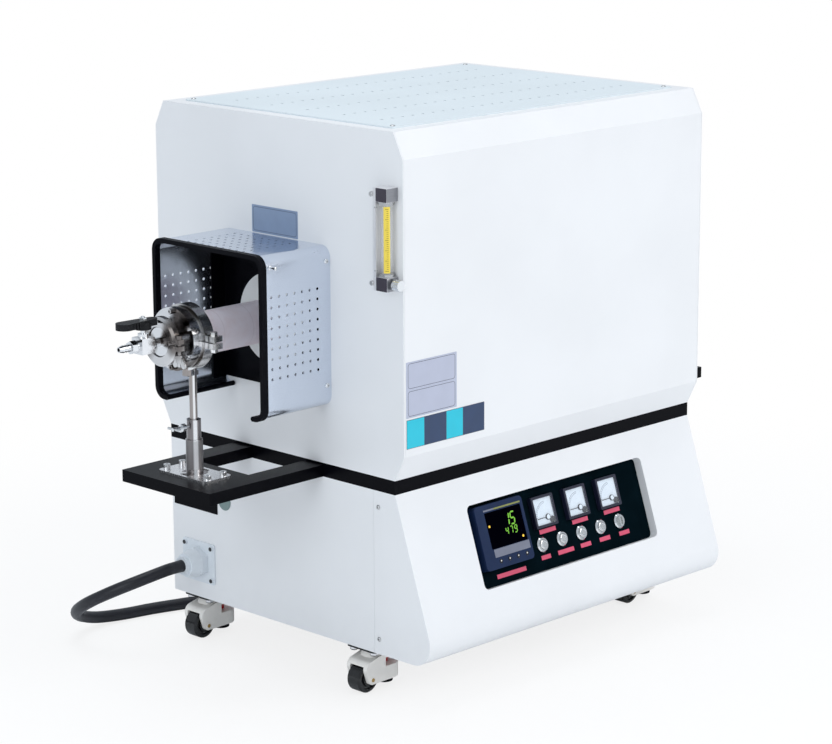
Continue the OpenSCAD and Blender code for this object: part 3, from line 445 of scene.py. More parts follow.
@dataclass(frozen=True)
class KnurledSteel(Finish):
    """The post: crossed knurling on the lower sleeve, plain turned steel above, and two painted highlight
    streaks over painted shade.
    """

    post_x: float = 0.472
    low: float = 0.328
    high: float = 0.369
    sleeve_r: float = 0.0112
    starts: float = 34.0
    helix: float = 2900.0
    knurl_depth: float = 0.00022
    # Angles of the two painted highlight streaks, and the radius within which they and the painted shade
    # are drawn.
    broad_highlight_at: float = 2.62
    narrow_highlight_at: float = 0.96
    painted_light_within: float = 0.0185
    # Colour of the painted shade between the highlights.
    shadow: Triple = (0.22, 0.20, 0.20)

    def build(self) -> bpy.types.Material:
        """Makes the material: the knurl is two helical waves, and the painted highlight streaks are peaks
        of the angle, over painted shade.

        Returns:
            The material.
        """
        g = Graph(self.name)
        x, y, z = g.split(g.coords())
        across = abs(x) - self.post_x
        turn = (y - TUBE_Y).angle(across)
        left = (turn * self.starts + z * self.helix).sine()
        right = (turn * self.starts - z * self.helix).sine()
        radius = (across * across + (y - TUBE_Y) * (y - TUBE_Y)).root()
        sleeve = z.above(self.low) * (1 - z.above(self.high)) * radius.above(self.sleeve_r)
        diamonds = (left.at_most(right) * 0.5 + 0.5) * sleeve
        grain = g.noise(g.coords(scale=Run.ALONG_Z.value), 700.0, 3.0)
        # Painted highlights: two light streaks at fixed angles round the post, with painted shade
        # elsewhere inside that radius.
        broad_highlight = (turn + self.broad_highlight_at).sine().ramp(0.93, 0.99)
        narrow = (turn + self.narrow_highlight_at).sine().ramp(0.97, 0.995)
        streak = broad_highlight.at_least(narrow).at_least(radius.above(self.painted_light_within))
        bright = g.mix(streak, self.shadow, self.colour)
        colour = g.mix(diamonds * 0.6 + grain * 0.2, bright, tuple(c * 0.3 for c in self.colour))
        rough = grain * 0.12 + sleeve * 0.12 + (self.rough - 0.05)
        normal = g.bump(diamonds + grain * 0.03, self.knurl_depth)
        return g.surface(Base_Color=colour, Metallic=1.0, Roughness=rough, Normal=normal)


@dataclass(frozen=True)
class FiredCeramic(Finish):
    """Dense fired alumina: chalky and faintly mottled, with fine drawing lines round the tube."""

    warm: Triple = (0.80, 0.72, 0.70)
    line_pitch: float = 118.0
    grit_depth: float = 0.00005

    def build(self) -> bpy.types.Material:
        """Makes the material: mottling is cloudy noise, and the lines are thin waves along the tube.

        Returns:
            The material.
        """
        g = Graph(self.name)
        p = g.coords()
        x, _, _ = g.split(p)
        mottle = g.noise(p, 26.0, 5.0, 0.6)
        line = (abs(x) * self.line_pitch + mottle * 0.25).sine().ramp(0.995, 1.0)
        grit = g.noise(p, 1500.0, 2.0)
        colour = g.mix(mottle.ramp(0.35, 0.7), self.colour, self.warm)
        colour = g.mix(line * 0.35, colour, tuple(c * 0.7 for c in self.warm))
        rough = mottle * 0.10 + (self.rough - 0.05)
        normal = g.bump(grit * 0.35 + line, self.grit_depth)
        inputs = {"Base_Color": colour, "Roughness": rough, "Normal": normal}
        return g.surface(**inputs, Coat_Weight=0.05, Coat_Roughness=0.4)


@dataclass(frozen=True)
class FibreBoard(Finish):
    """Vacuum-formed ceramic fibre: matt white, with short fibres and pits."""

    pit_depth: float = 0.00020

    def build(self) -> bpy.types.Material:
        """Makes the material: fibres are stretched noise crossed with pits.

        Returns:
            The material.
        """
        g = Graph(self.name)
        p = g.coords()
        fibre = g.noise(g.coords(scale=(1.0, 0.15, 1.0)), 700.0, 4.0, 0.7)
        cross = g.noise(g.coords(scale=(0.15, 1.0, 1.0)), 650.0, 4.0, 0.7)
        pits = g.node("ShaderNodeTexVoronoi", None, {"Vector": p, "Scale": 260.0}).ramp(0.0, 0.35)
        colour = g.mix(fibre * 0.5 + cross * 0.5, tuple(c * 0.88 for c in self.colour), self.colour)
        normal = g.bump(fibre * 0.5 + cross * 0.5 + pits * 0.6, self.pit_depth)
        return g.surface(Base_Color=colour, Roughness=fibre * 0.05 + self.rough, Normal=normal)


@dataclass(frozen=True)
class Moulded(Finish):
    """Moulded plastic or rubber: a spark-eroded grain, and slow changes of gloss."""

    grain: float = 900.0
    depth: float = 0.00003
    shade: float = 0.12
    shine: float = 0.5

    def build(self) -> bpy.types.Material:
        """Makes the material: fine noise is the grain, and slow noise tints it.

        Returns:
            The material.
        """
        g = Graph(self.name)
        p = g.coords()
        grain = g.noise(p, self.grain, 2.0, 0.6)
        slow = g.noise(p, 35.0, 3.0)
        darker = tuple(c * (1 - self.shade) for c in self.colour)
        colour = g.mix(slow.ramp(0.3, 0.7), darker, self.colour)
        rough = slow * 0.12 + grain * 0.05 + (self.rough - 0.08)
        normal = g.bump(grain, self.depth)
        return g.surface(Base_Color=colour, Roughness=rough, Normal=normal, Specular_IOR_Level=self.shine)


@dataclass(frozen=True)
class WornCasting(Finish):
    """Painted casting with scuffs that show a darker ground near the floor."""

    scuff: Triple = (0.25, 0.22, 0.18)
    scuff_z: tuple[float, float] = (0.01, 0.045)
    skin_depth: float = 0.00006

    def build(self) -> bpy.types.Material:
        """Makes the material: scuffs are ridged noise, stronger close to the floor.

        Returns:
            The material.
        """
        g = Graph(self.name)
        p = g.coords()
        _, _, z = g.split(p)
        cloud = g.noise(p, 45.0, 4.0)
        scratch = g.noise(g.coords(scale=(0.25, 1.0, 1.0)), 320.0, 4.0, 0.7).ramp(0.66, 0.74)
        low = z.ramp(*self.scuff_z, 1.0, 0.15)
        colour = g.mix(cloud.ramp(0.3, 0.75), tuple(c * 0.92 for c in self.colour), self.colour)
        colour = g.mix(scratch * low * 0.5, colour, self.scuff)
        rough = cloud * 0.15 + (self.rough - 0.08)
        normal = g.bump(g.noise(p, 520.0, 2.0), self.skin_depth)
        return g.surface(Base_Color=colour, Roughness=rough, Normal=normal)


@dataclass(frozen=True)
class Clear(Finish):
    """Clear plastic or glass, drawn as a thin see-through skin with its gloss kept."""

    alpha: float = 0.2
    shine: float = 0.6

    def build(self) -> bpy.types.Material:
        """Makes the material: faint streaks change how much it covers.

        Returns:
            The material.
        """
        g = Graph(self.name)
        streak = g.noise(g.coords(scale=(1.0, 1.0, 0.1)), 120.0, 3.0)
        cover = streak * 0.06 + (self.alpha - 0.03)
        rough = streak * 0.04 + self.rough
        inputs = {"Base_Color": self.colour, "Roughness": rough, "Alpha": cover}
        return g.surface(**inputs, Specular_IOR_Level=self.shine)


@dataclass(frozen=True)
class Glow(Finish):
    """A lit segment or lamp: colour with its own light, a little brighter at some points."""

    strength: float = 1.6
    unlit: Triple = (0.01, 0.01, 0.01)

    def build(self) -> bpy.types.Material:
        """Makes the material: slow noise changes the light's colour.

        Returns:
            The material.
        """
        g = Graph(self.name)
        patch = g.noise(g.coords(), 180.0, 2.0)
        light = g.mix(patch, tuple(c * 0.8 for c in self.colour), self.colour)
        inputs = {"Base_Color": self.unlit, "Roughness": self.rough}
        return g.surface(**inputs, Emission_Color=light, Emission_Strength=self.strength)


class Palette:
    """Every finish of the furnace, each made once, when it is first used."""

    FINISHES = (
        PowderCoat("white_powder_coat", tone(238, 238, 239), 0.36, low_darkening=0.08),
        PowderCoat("white_vent_coat", tone(222, 231, 235), 0.42, grain=500.0),
        PowderCoat("black_powder_coat", tone(5, 5, 10), 0.30, peel=0.0001, cloud=0.15, shine=0.05),
        PowderCoat("black_caster_plate", tone(20, 20, 24), 0.45, cloud=0.2, shine=0.2),
        Moulded("panel_film", tone(8, 21, 27), 0.6, grain=1300.0, depth=0.00002, shade=0.25, shine=0.0),
        Moulded("controller_bezel", tone(22, 40, 74), 0.36, shine=0.2, grain=1500.0, depth=0.00003),
        Moulded("meter_moulding", tone(26, 28, 50), 0.38, grain=1500.0),
        Moulded("key_cap", tone(20, 26, 38), 0.25, grain=1600.0, depth=0.00001),
        Moulded("display_window", tone(2, 2, 8), 0.4, grain=900.0, depth=0.000004, shine=0.0),
        Moulded("display_band", tone(118, 122, 138), 0.5, grain=1400.0),
        Moulded("meter_card", tone(228, 238, 247), 0.6, grain=1200.0, depth=0.00001, shade=0.03),
        Moulded("dial_ink", tone(96, 108, 132), 0.6, shade=0.2),
        Moulded("needle_paint", tone(20, 24, 34), 0.45),
        Moulded("pink_strip", tone(226, 84, 116), 0.48, grain=1400.0, depth=0.00001, shade=0.1),
        Glow("lit_green", (0.22, 0.66, 0.03), 0.4, 1.0),
        Glow("lit_amber", (1.0, 0.62, 0.04), 0.4, 1.4),
        Moulded("olive_band", tone(134, 138, 74), 0.5, grain=1400.0),
        # Painted highlight on the dark controller keys.
        Moulded("key_dot", tone(236, 232, 224), 0.4, grain=1400.0),
        Moulded("grey_plate", tone(186, 190, 208), 0.42, grain=1200.0, depth=0.00001, shade=0.04),
        Moulded("plate_line", tone(70, 76, 92), 0.5),
        Moulded("navy_tile", tone(40, 62, 98), 0.4, grain=1200.0, depth=0.00001),
        Moulded("cyan_tile", tone(26, 196, 218), 0.4, grain=1200.0, depth=0.00001, shade=0.05),
        Moulded("slate_plate", tone(136, 154, 182), 0.35, grain=1200.0, depth=0.00001, shade=0.06),
        Moulded("green_disc", tone(126, 148, 146), 0.45, grain=1000.0),
        BrushedSteel("guard_sheet", (0.72, 0.77, 0.86), 0.24, Run.ALONG_X, 0.000003, 0.03),
        # Turned steel with painted reflection fans, light and dark.
        TurnedSteel("turned_flange", (0.80, 0.80, 0.81), 0.12),
        TurnedSteel("turned_clamp", (0.72, 0.71, 0.71), 0.16, reflection_fans=2.0),
        TurnedSteel("turned_fitting", (0.84, 0.84, 0.85), 0.13, reflection_fans=2.0, plain_from=0.5326),
        BrushedSteel("cast_clamp", (0.58, 0.57, 0.56), 0.20, Run.EVERY_WAY, 0.00002),
        BrushedSteel("bright_chrome", (0.82, 0.83, 0.84), 0.14, Run.EVERY_WAY, 0.000004),
        BrushedSteel("button_steel", (0.80, 0.80, 0.79), 0.26, Run.EVERY_WAY, 0.00001),
        # The post's rod: painted highlight streaks over painted shade, with no knurl.
        KnurledSteel(
            "post_rod_steel", (0.92, 0.90, 0.89), 0.20, low=0.0, high=0.0, shadow=(0.36, 0.32, 0.30)
        ),
        KnurledSteel("knurled_post", (0.90, 0.89, 0.89), 0.26),
        # One brushed metal for the meter blocks, in a shaded copy for the side and a lit copy for the
        # front.
        BrushedSteel("block_side", (0.10, 0.09, 0.11), 0.42, Run.ALONG_Z, 0.00001),
        BrushedSteel("block_front", (0.34, 0.34, 0.36), 0.36, Run.ALONG_X, 0.00001),
        BrushedSteel("channel_aluminium", (0.90, 0.89, 0.90), 0.45, Run.ALONG_Z, 0.00001),
        BrushedSteel("screw_steel", (0.58, 0.58, 0.58), 0.30, Run.EVERY_WAY, 0.00001),
        BrushedSteel("winding_metal", (0.40, 0.24, 0.15), 0.5, Run.ALONG_Z, 0.0001),
        BrushedSteel("silicide_element", (0.20, 0.19, 0.20), 0.55, Run.ALONG_Z, 0.00004),
        FiredCeramic("alumina_tube", tone(250, 240, 246), 0.52, warm=tone(242, 226, 230)),
        FibreBoard("fibre_board", tone(236, 236, 234), 0.9),
        Moulded("edge_rubber", tone(8, 8, 15), 0.45, grain=500.0, depth=0.00008, shade=0.2, shine=0.06),
        Moulded("cord_rubber", tone(14, 15, 27), 0.42, grain=420.0, depth=0.00008, shade=0.25),
        Moulded("gland_nylon", tone(226, 231, 236), 0.38, grain=700.0, shade=0.05),
        Moulded("plug_blue", tone(34, 84, 168), 0.36, grain=800.0),
        Moulded("lever_grip", tone(18, 18, 21), 0.5, grain=650.0, depth=0.00007, shade=0.25, shine=0.25),
        Moulded("scale_yellow", tone(248, 220, 84), 0.45, grain=1200.0, depth=0.00001, shade=0.06),
        Moulded("scale_ink", tone(120, 96, 20), 0.5),
        Clear("clear_block", (0.95, 0.94, 0.92), 0.08, 0.16),
        Clear("meter_pane", (0.92, 0.95, 1.0), 0.04, 0.05),
        WornCasting("caster_casting", tone(252, 247, 240), 0.42),
        Moulded("caster_nylon", tone(12, 12, 14), 0.22, grain=260.0, depth=0.00006, shade=0.3, shine=0.6),
        Moulded("screw_dark", tone(44, 44, 48), 0.4, grain=400.0, shade=0.3),
        Moulded("thumbwheel_red", tone(196, 34, 40), 0.35, grain=700.0),
        Moulded("pin_brass", tone(176, 140, 70), 0.3, shade=0.2),
    )

    def __init__(self) -> None:
        """Starts with no material made."""
        self.recipes = {finish.name: finish for finish in self.FINISHES}
        self.made: dict[str, bpy.types.Material] = {}

    def __getitem__(self, name: str) -> bpy.types.Material:
        """The material of that name."""
        if name not in self.made:
            self.made[name] = self.recipes[name].build()
        return self.made[name]


# ------------------------------------------------------------------ surfaces


@dataclass(frozen=True)
class Place:
    """A spot on the furnace: an origin in millimetres and three axes, the third pointing out."""

    origin: Triple
    right: Triple
    up: Triple
    out: Triple

    def at(self, points: np.ndarray) -> np.ndarray:
        """Carries points from this spot's axes to the furnace's frame.

        Args:
            points: an array whose last axis is (right, up, out), in millimetres.

        Returns:
            origin + right * a + up * b + out * c, in metres.
        """
        axes = np.array([self.right, self.up, self.out], float)
        return (np.array(self.origin) + points @ axes) * MM

    def moved(self, right: float = 0.0, up: float = 0.0, out: float = 0.0) -> "Place":
        """The same axes with the origin moved along them.

        Args:
            right, up, out: how far along each axis.

        Returns:
            The moved spot: origin + right * a + up * b + out * c.
        """
        axes = np.array([self.right, self.up, self.out])
        spot = np.array(self.origin) + np.array([right, up, out]) @ axes
        return Place(tuple(spot), self.right, self.up, self.out)

    def turned(self, degrees: float) -> "Place":
        """The same spot, turned about the outward axis.

        Args:
            degrees: how far, anticlockwise as seen from outside.

        Returns:
            The turned spot: right becomes right * cos + up * sin.
        """
        c, s = math.cos(math.radians(degrees)), math.sin(math.radians(degrees))
        r, u = np.array(self.right), np.array(self.up)
        return Place(self.origin, tuple(c * r + s * u), tuple(c * u - s * r), self.out)


def rake_face(x: float, s: float, out: float = 0.0) -> Place:
    """A spot on the leaning front.

    Args:
        x: how far across.
        s: how far down the front from the belt.
        out: how far out from the sheet.

    Returns:
        The spot, with its outward axis square to the sheet.
    """
    down = np.array([0.0, -math.sin(RAKE), -math.cos(RAKE)])
    normal = np.array([0.0, -math.cos(RAKE), math.sin(RAKE)])
    spot = np.array([x, BELT_FRONT_Y, BELT_Z]) + s * down + out * normal
    return Place(tuple(spot), (1, 0, 0), tuple(-down), tuple(normal))


def front_face(x: float, z: float) -> Place:
    """A spot on the upper housing's front."""
    return Place((x, FRONT_Y, z), (1, 0, 0), (0, 0, 1), (0, -1, 0))


def side_face(side: int, y: float, z: float) -> Place:
    """A spot on a side face: side -1 for the left and 1 for the right; y from the tube's axis."""
    return Place((side * HALF_W, HOME_Y + y, z), (0, side, 0), (0, 0, 1), (side, 0, 0))


def top_face(x: float, y: float, z: float = TOP_Z) -> Place:
    """A spot on a level face; y from the tube's axis."""
    return Place((x, HOME_Y + y, z), (1, 0, 0), (0, 1, 0), (0, 0, 1))


def rounded(width: float, height: float, radius: float, steps: int = 5) -> np.ndarray:
    """The outline of a rectangle with round corners.

    Args:
        width, height, radius: its size.
        steps: points on each corner.

    Returns:
        (4 * steps, 2) points: each corner's centre plus radius * (cos, sin) of its quarter turn.
    """
    radius = max(min(radius, width / 2 - 1e-3, height / 2 - 1e-3), 1e-3)
    turn = np.linspace(0, np.pi / 2, steps)
    start = np.repeat(np.arange(4) * np.pi / 2, steps)
    angle = start + np.tile(turn, 4)
    sx = np.repeat([1, -1, -1, 1], steps) * (width / 2 - radius)
    sy = np.repeat([1, 1, -1, -1], steps) * (height / 2 - radius)
    return np.stack([sx + radius * np.cos(angle), sy + radius * np.sin(angle)], -1)


@dataclass(frozen=True)
class Patch:
    """A flat patch with round corners, in millimetres: its middle, its size and its corners' radius."""

    across: float
    up: float
    width: float
    height: float
    radius: float

    def outline(self) -> np.ndarray:
        """Its outline, round its own middle."""
        return rounded(self.width, self.height, self.radius)


def circle(radius: float, count: int = 32) -> np.ndarray:
    """(count, 2) points of a circle: radius * (cos, sin) of evenly spaced angles."""
    angle = np.linspace(0, 2 * np.pi, count, endpoint=False)
    return radius * np.stack([np.cos(angle), np.sin(angle)], -1)


class Shape:
    """A mesh that is collected from surfaces, each of them a whole array of points."""

    def __init__(self) -> None:
        """Starts with nothing."""
        self.points: list[np.ndarray] = []
        self.faces: list[list[int]] = []
        self.slots: list[int] = []
        self.count = 0

    def grid(self, points: np.ndarray, ring: bool = True, caps: bool = True, slot: int = 0) -> "Shape":
        """Adds a grid of points as a skin of quadrilaterals.

        Args:
            points: (rows, columns, 3) points in metres.
            ring: each row closes on itself.
            caps: the first and last rows are closed with one face each.
            slot: the number of its material.

        Returns:
            This shape.
        """
        rows, cols = points.shape[:2]
        index = np.arange(rows * cols).reshape(rows, cols) + self.count
        if ring:
            index = np.hstack([index, index[:, :1]])
        quads = np.stack([index[:-1, :-1], index[1:, :-1], index[1:, 1:], index[:-1, 1:]], -1)
        faces = quads.reshape(-1, 4).tolist()
        if ring and caps:
            faces += [index[0, :-1].tolist(), index[-1, -2::-1].tolist()]
        self.points.append(points.reshape(-1, 3))
        self.faces += faces
        self.slots += [slot] * len(faces)
        self.count += rows * cols
        return self

    def slab(
        self, place: Place, outline: np.ndarray, thick: float,
        bevel: float = 0.0, base: float = 0.0, slot: int = 0,
    ) -> "Shape":
        """Adds a plate: an outline raised from base to base + thick, its top edge bevelled.

        Args:
            place: where it lies.
            outline: (n, 2) points round its own middle.
            thick: its thickness.
            bevel: how far the top edge is cut back.
            base: how far it starts above the place.
            slot: the number of its material.

        Returns:
            This shape.
        """
        reach = np.abs(outline).max(axis=0)
        shrink = 1 - bevel / reach
        levels = [(1.0, base), (1.0, base + thick - bevel), (shrink, base + thick)]
        if bevel > 0.4:
            mid = 1 - 0.3 * bevel / reach
            levels.insert(2, (mid, base + thick - 0.3 * bevel))
        rings = [np.column_stack([outline * s, np.full(len(outline), h)]) for s, h in levels]
        return self.grid(place.at(np.stack(rings)), slot=slot)

    def lathe(self, place: Place, profile: Profile, count: int = 32, slot: int = 0) -> "Shape":
        """Adds a turned piece: a profile carried round the place's outward axis.

        Args:
            place: where it stands.
            profile: (height, radius) pairs from its foot to its top.
            count: points in each ring.
            slot: the number of its material.

        Returns:
            This shape. A point is (r cos t, r sin t, h).
        """
        rings = [np.column_stack([circle(max(r, 1e-4), count), np.full(count, h)]) for h, r in profile]
        return self.grid(place.at(np.stack(rings)), slot=slot)

    def tube(
        self, path: np.ndarray, radius: np.ndarray | float, count: int = 12, slot: int = 0
    ) -> "Shape":
        """Adds a round tube along a path.

        Args:
            path: (n, 3) points in metres.
            radius: one radius, or one for each point, in metres.
            count: points in each ring.
            slot: the number of its material.

        Returns:
            This shape. A point is path + r (cos a * side + sin a * over), where side and over are square
            to the path.
        """
        tangent = np.gradient(path, axis=0)
        tangent /= np.linalg.norm(tangent, axis=1, keepdims=True)
        world = np.where(np.abs(tangent[:, 2:3]) > 0.92, [[1.0, 0, 0]], [[0, 0, 1.0]])
        side = np.cross(world, tangent)
        side /= np.linalg.norm(side, axis=1, keepdims=True)
        over = np.cross(tangent, side)
        angle = np.linspace(0, 2 * np.pi, count, endpoint=False)[None, :, None]
        r = np.broadcast_to(np.asarray(radius, float), (len(path),))[:, None, None]
        rings = path[:, None] + r * (np.cos(angle) * side[:, None] + np.sin(angle) * over[:, None])
        return self.grid(rings, slot=slot)

    def piece(
        self, name: str, body: str, *materials: bpy.types.Material, sharp: float = 32.0
    ) -> bpy.types.Object:
        """Makes the object: doubles are merged, faces turned outwards, and it rides on a body.

        Args:
            name: the piece's name.
            body: the CAD body that carries it.
            materials: its materials, in the order of the slots.
            sharp: edges that turn by more than this many degrees stay crisp.

        Returns:
            The object.
        """
        mesh = bpy.data.meshes.new(name)
        mesh.from_pydata(np.concatenate(self.points).tolist(), [], self.faces)
        for material in materials:
            mesh.materials.append(material)
        mesh.polygons.foreach_set("material_index", np.array(self.slots, np.int32))
        work = bmesh.new()
        work.from_mesh(mesh)
        bmesh.ops.remove_doubles(work, verts=work.verts, dist=2e-7)
        bmesh.ops.recalc_face_normals(work, faces=work.faces)
        work.to_mesh(mesh)
        work.free()
        mesh.polygons.foreach_set("use_smooth", np.ones(len(mesh.polygons), bool))
        mesh.set_sharp_from_angle(angle=math.radians(sharp))
        piece = bpy.data.objects.new(name, mesh)
        bpy.context.scene.collection.objects.link(piece)
        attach(piece, body)
        LOG.info("made %s: %d faces, on %s", name, len(mesh.polygons), body)
        return piece


# ------------------------------------------------------------------ sub-assemblies


@dataclass
class Assembly:
    """A group of pieces that is dressed together."""

    nodes: dict[str, bpy.types.Object]
    palette: Palette

    def dress(self, finish: str, *names: str) -> None:
        """Gives CAD nodes a finish.

        Args:
            finish: the finish's name.
            names: the nodes.
        """
        for name in names:
            mesh = self.nodes[name].data
            mesh.materials.clear()
            mesh.materials.append(self.palette[finish])
            LOG.info("dressed %s in %s", name, finish)

    def finishes(self, *names: str) -> list[bpy.types.Material]:
        """The materials of those names, in order."""
        return [self.palette[name] for name in names]

    def build(self) -> None:
        """Makes the pieces of this group."""
        raise NotImplementedError


def pan_screw(shape: Shape, place: Place, radius: float, height: float = 1.8, slot: int = 0) -> None:
    """Adds a domed screw head with a socket in it.

    Args:
        shape: the shape that it joins.
        place: its seat.
        radius, height: its size.
        slot: the number of its material.
    """
    r, h = radius, height
    dome = [(-0.2, r * 0.96), (0.0, r), (h * 0.35, r), (h * 0.75, r * 0.86), (h, r * 0.58)]
    socket = [(h, r * 0.42), (h * 0.45, r * 0.38), (h * 0.4, 0)]
    shape.lathe(place, dome + socket, 18, slot)


def hand(side: int) -> str:
    """The name of a side: -1 is left and 1 is right."""
    return "left" if side < 0 else "right"


@dataclass
class Housings(Assembly):
    """The painted sheet metal: upper housing, vent panel, cabinet, fascia and belt frame."""

    vent_screw: tuple[float, float] = (284.0, 203.0)
    vent_head: tuple[float, float] = (3.6, 1.6)
    vent_proud: float = 2.0
    sheet_head: tuple[float, float] = (3.4, 1.8)
    seam_screw_y: float = -202.0
    seam_screw_z: tuple[float, float] = (-43.0, -234.0)
    rear_screw_x: tuple[float, ...] = (-290.0, -97.0, 97.0, 290.0)
    rear_screw_z: tuple[float, ...] = (DECK_Z + 52.0, TOP_Z - 52.0)
    low_screw_z: tuple[float, ...] = (CABINET_Z + 16.0, BELT_Z - 14.0)
    belt_soft: float = 1.6
    plate_thick: float = 0.4
    edge: float = 0.1
    line_wide: float = 0.6
    line_lift: float = 0.06
    tile_lift: float = 0.05
    rating_lift: float = 0.3
    grey_plate: Patch = Patch(-261.3, DECK_Z + 129.0, 98.5, 78.0, 0.6)
    grey_boxes: tuple[Patch, ...] = tuple(Patch(0.0, up, 92.0, 35.0, 4.0) for up in (19.3, -19.3))
    band_left: float = -310.0
    band_z: float = DECK_Z + 67.2
    band_size: tuple[float, float] = (153.5, 40.5)
    band_tile: tuple[float, float] = (0.8, 39.5)
    band_cuts: tuple[float, ...] = (0.0, 0.223, 0.502, 0.72, 1.0)
    side_plate: Patch = Patch(0.0, DECK_Z + 331.5, 94.0, 39.0, 0.8)
    side_box: Patch = Patch(0.0, 0.0, 89.0, 34.0, 4.0)
    rating_plate: Patch = Patch(182.0, 220.0, 96.0, 38.0, 0.8)
    disc_spot: tuple[float, float] = (118.0, 224.0)
    disc: Profile = (
        (0.0, 13.0), (0.8, 13.0), (1.4, 12.2), (1.4, 9.4), (1.0, 9.0), (1.0, 0.0),
    )
    edge_plug: Patch = Patch(-216.0, DECK_Z + 54.0, 16.0, 22.0, 5.0)
    edge_plug_out: tuple[float, float] = (9.0, 2.2)

    def build(self) -> None:
        """Dresses the sheets, rounds the belt's edges, and adds screws, plates and the edge plug."""
        self.dress("white_powder_coat", "upper_housing", "lower_cabinet", "front_fascia")
        self.dress("white_vent_coat", "top_vent_panel")
        self.dress("black_powder_coat", "belt_frame")
        soften = self.nodes["belt_frame"].modifiers.new("rolled_edges", "BEVEL")
        soften.width, soften.segments, soften.limit_method = self.belt_soft * MM, 3, "ANGLE"
        self.add_screws()
        self.add_grey_plate()
        self.add_band()
        for side in (-1, 1):
            self.add_side_plate(side)
        self.add_left_plates()
        self.add_edge_plug()

    def add_screws(self) -> None:
        """Adds the screw heads of the vent panel, of the fascia's side seams and of the rear panels."""
        shape = Shape()
        vx, vy = self.vent_screw
        for sx in (-1, 1):
            for sy in (-1, 1):
                pan_screw(shape, top_face(sx * vx, sy * vy, TOP_Z + self.vent_proud), *self.vent_head)
            for dz in self.seam_screw_z:
                pan_screw(shape, side_face(sx, self.seam_screw_y, DECK_Z + dz), *self.sheet_head)
        rear = Place((0, REAR_Y, 0), (-1, 0, 0), (0, 0, 1), (0, 1, 0))
        low = Place((0, CABINET_REAR_Y, 0), (-1, 0, 0), (0, 0, 1), (0, 1, 0))
        for x in self.rear_screw_x:
            for sheet, levels in ((rear, self.rear_screw_z), (low, self.low_screw_z)):
                for z in levels:
                    pan_screw(shape, sheet.moved(x, z), *self.sheet_head)
        shape.piece("panel_screws", ROOT, self.palette["screw_steel"])

    def frame_lines(self, shape: Shape, place: Place, box: Patch, slot: int) -> None:
        """Adds a thin printed border: two outlines joined by a flat band.

        Args:
            shape: the shape that it joins.
            place: the middle of the plate that carries it.
            box: the border's outer edge.
            slot: the number of its material.
        """
        middle, outer, wide = place.moved(box.across, box.up), box.outline(), self.line_wide
        inner = rounded(box.width - 2 * wide, box.height - 2 * wide, box.radius - wide)
        lift = self.plate_thick + self.line_lift
        rings = [(outer, self.edge), (outer, lift), (inner, lift), (inner, self.edge)]
        points = np.stack([np.column_stack([o, np.full(len(o), h)]) for o, h in rings])
        shape.grid(middle.at(points), caps=False, slot=slot)
        shape.grid(middle.at(points[[3, 0]]), caps=False, slot=slot)

    def add_grey_plate(self) -> None:
        """Adds the upper bare plate on the front, with its two empty boxes."""
        shape = Shape()
        spot = front_face(self.grey_plate.across, self.grey_plate.up)
        shape.slab(spot, self.grey_plate.outline(), self.plate_thick, self.edge)
        for box in self.grey_boxes:
            self.frame_lines(shape, spot, box, 1)
        shape.piece("front_plate_grey", ROOT, *self.finishes("grey_plate", "plate_line"))

    def add_band(self) -> None:
        """Adds the lower bare plate on the front: four tiles, cyan and navy in turn, on a dark ground."""
        shape = Shape()
        width, height = self.band_size
        gap, tall = self.band_tile
        for i, (low, high) in enumerate(zip(self.band_cuts, self.band_cuts[1:])):
            place = front_face(self.band_left + width * (low + high) / 2, self.band_z)
            tile = rounded(width * (high - low) - gap, tall, 0.4)
            shape.slab(place, tile, self.plate_thick + self.tile_lift, self.edge, slot=(i + 1) % 2)
        ground = front_face(self.band_left + width / 2, self.band_z)
        shape.slab(ground, rounded(width, height, 0.5), self.plate_thick, self.edge, slot=2)
        shape.piece("front_plate_band", ROOT, *self.finishes("navy_tile", "cyan_tile", "plate_line"))

    def add_side_plate(self, side: int) -> None:
        """Adds the bare plate on a side of the upper housing.

        Args:
            side: -1 for the left side and 1 for the right.
        """
        shape = Shape()
        spot = side_face(side, self.side_plate.across, self.side_plate.up)
        shape.slab(spot, self.side_plate.outline(), self.plate_thick, self.edge)
        self.frame_lines(shape, spot, self.side_box, 1)
        shape.piece(f"{hand(side)}_side_plate", ROOT, *self.finishes("slate_plate", "plate_line"))

    def add_left_plates(self) -> None:
        """Adds the dark plate low on the left side, and the round sticker beside it."""
        low = Shape()
        spot = side_face(-1, self.rating_plate.across, self.rating_plate.up)
        thick = self.plate_thick + self.rating_lift
        low.slab(spot, self.rating_plate.outline(), thick, 1.5 * self.edge)
        low.piece("rating_plate", ROOT, self.palette["black_powder_coat"])
        disc = Shape()
        disc.lathe(side_face(-1, *self.disc_spot), self.disc, 40)
        disc.piece("side_disc", ROOT, self.palette["green_disc"])

    def add_edge_plug(self) -> None:
        """Adds the small black plug on the right side, near the bottom front corner."""
        shape = Shape()
        spot = side_face(1, self.edge_plug.across, self.edge_plug.up)
        shape.slab(spot, self.edge_plug.outline(), *self.edge_plug_out)
        shape.piece("side_edge_plug", ROOT, self.palette["edge_rubber"])


# The bars of each figure, and each bar's spot in half widths and quarter heights, with True for upright
SEGMENTS: dict[str, str] = {"1": "bc", "5": "afgcd", "4": "fgbc", "7": "abc", "9": "abcdfg"}
SPOTS: dict[str, tuple[int, int, bool]] = {
    "a": (0, 2, False), "g": (0, 0, False), "d": (0, -2, False),
    "f": (-1, 1, True), "b": (1, 1, True), "c": (1, -1, True),
}


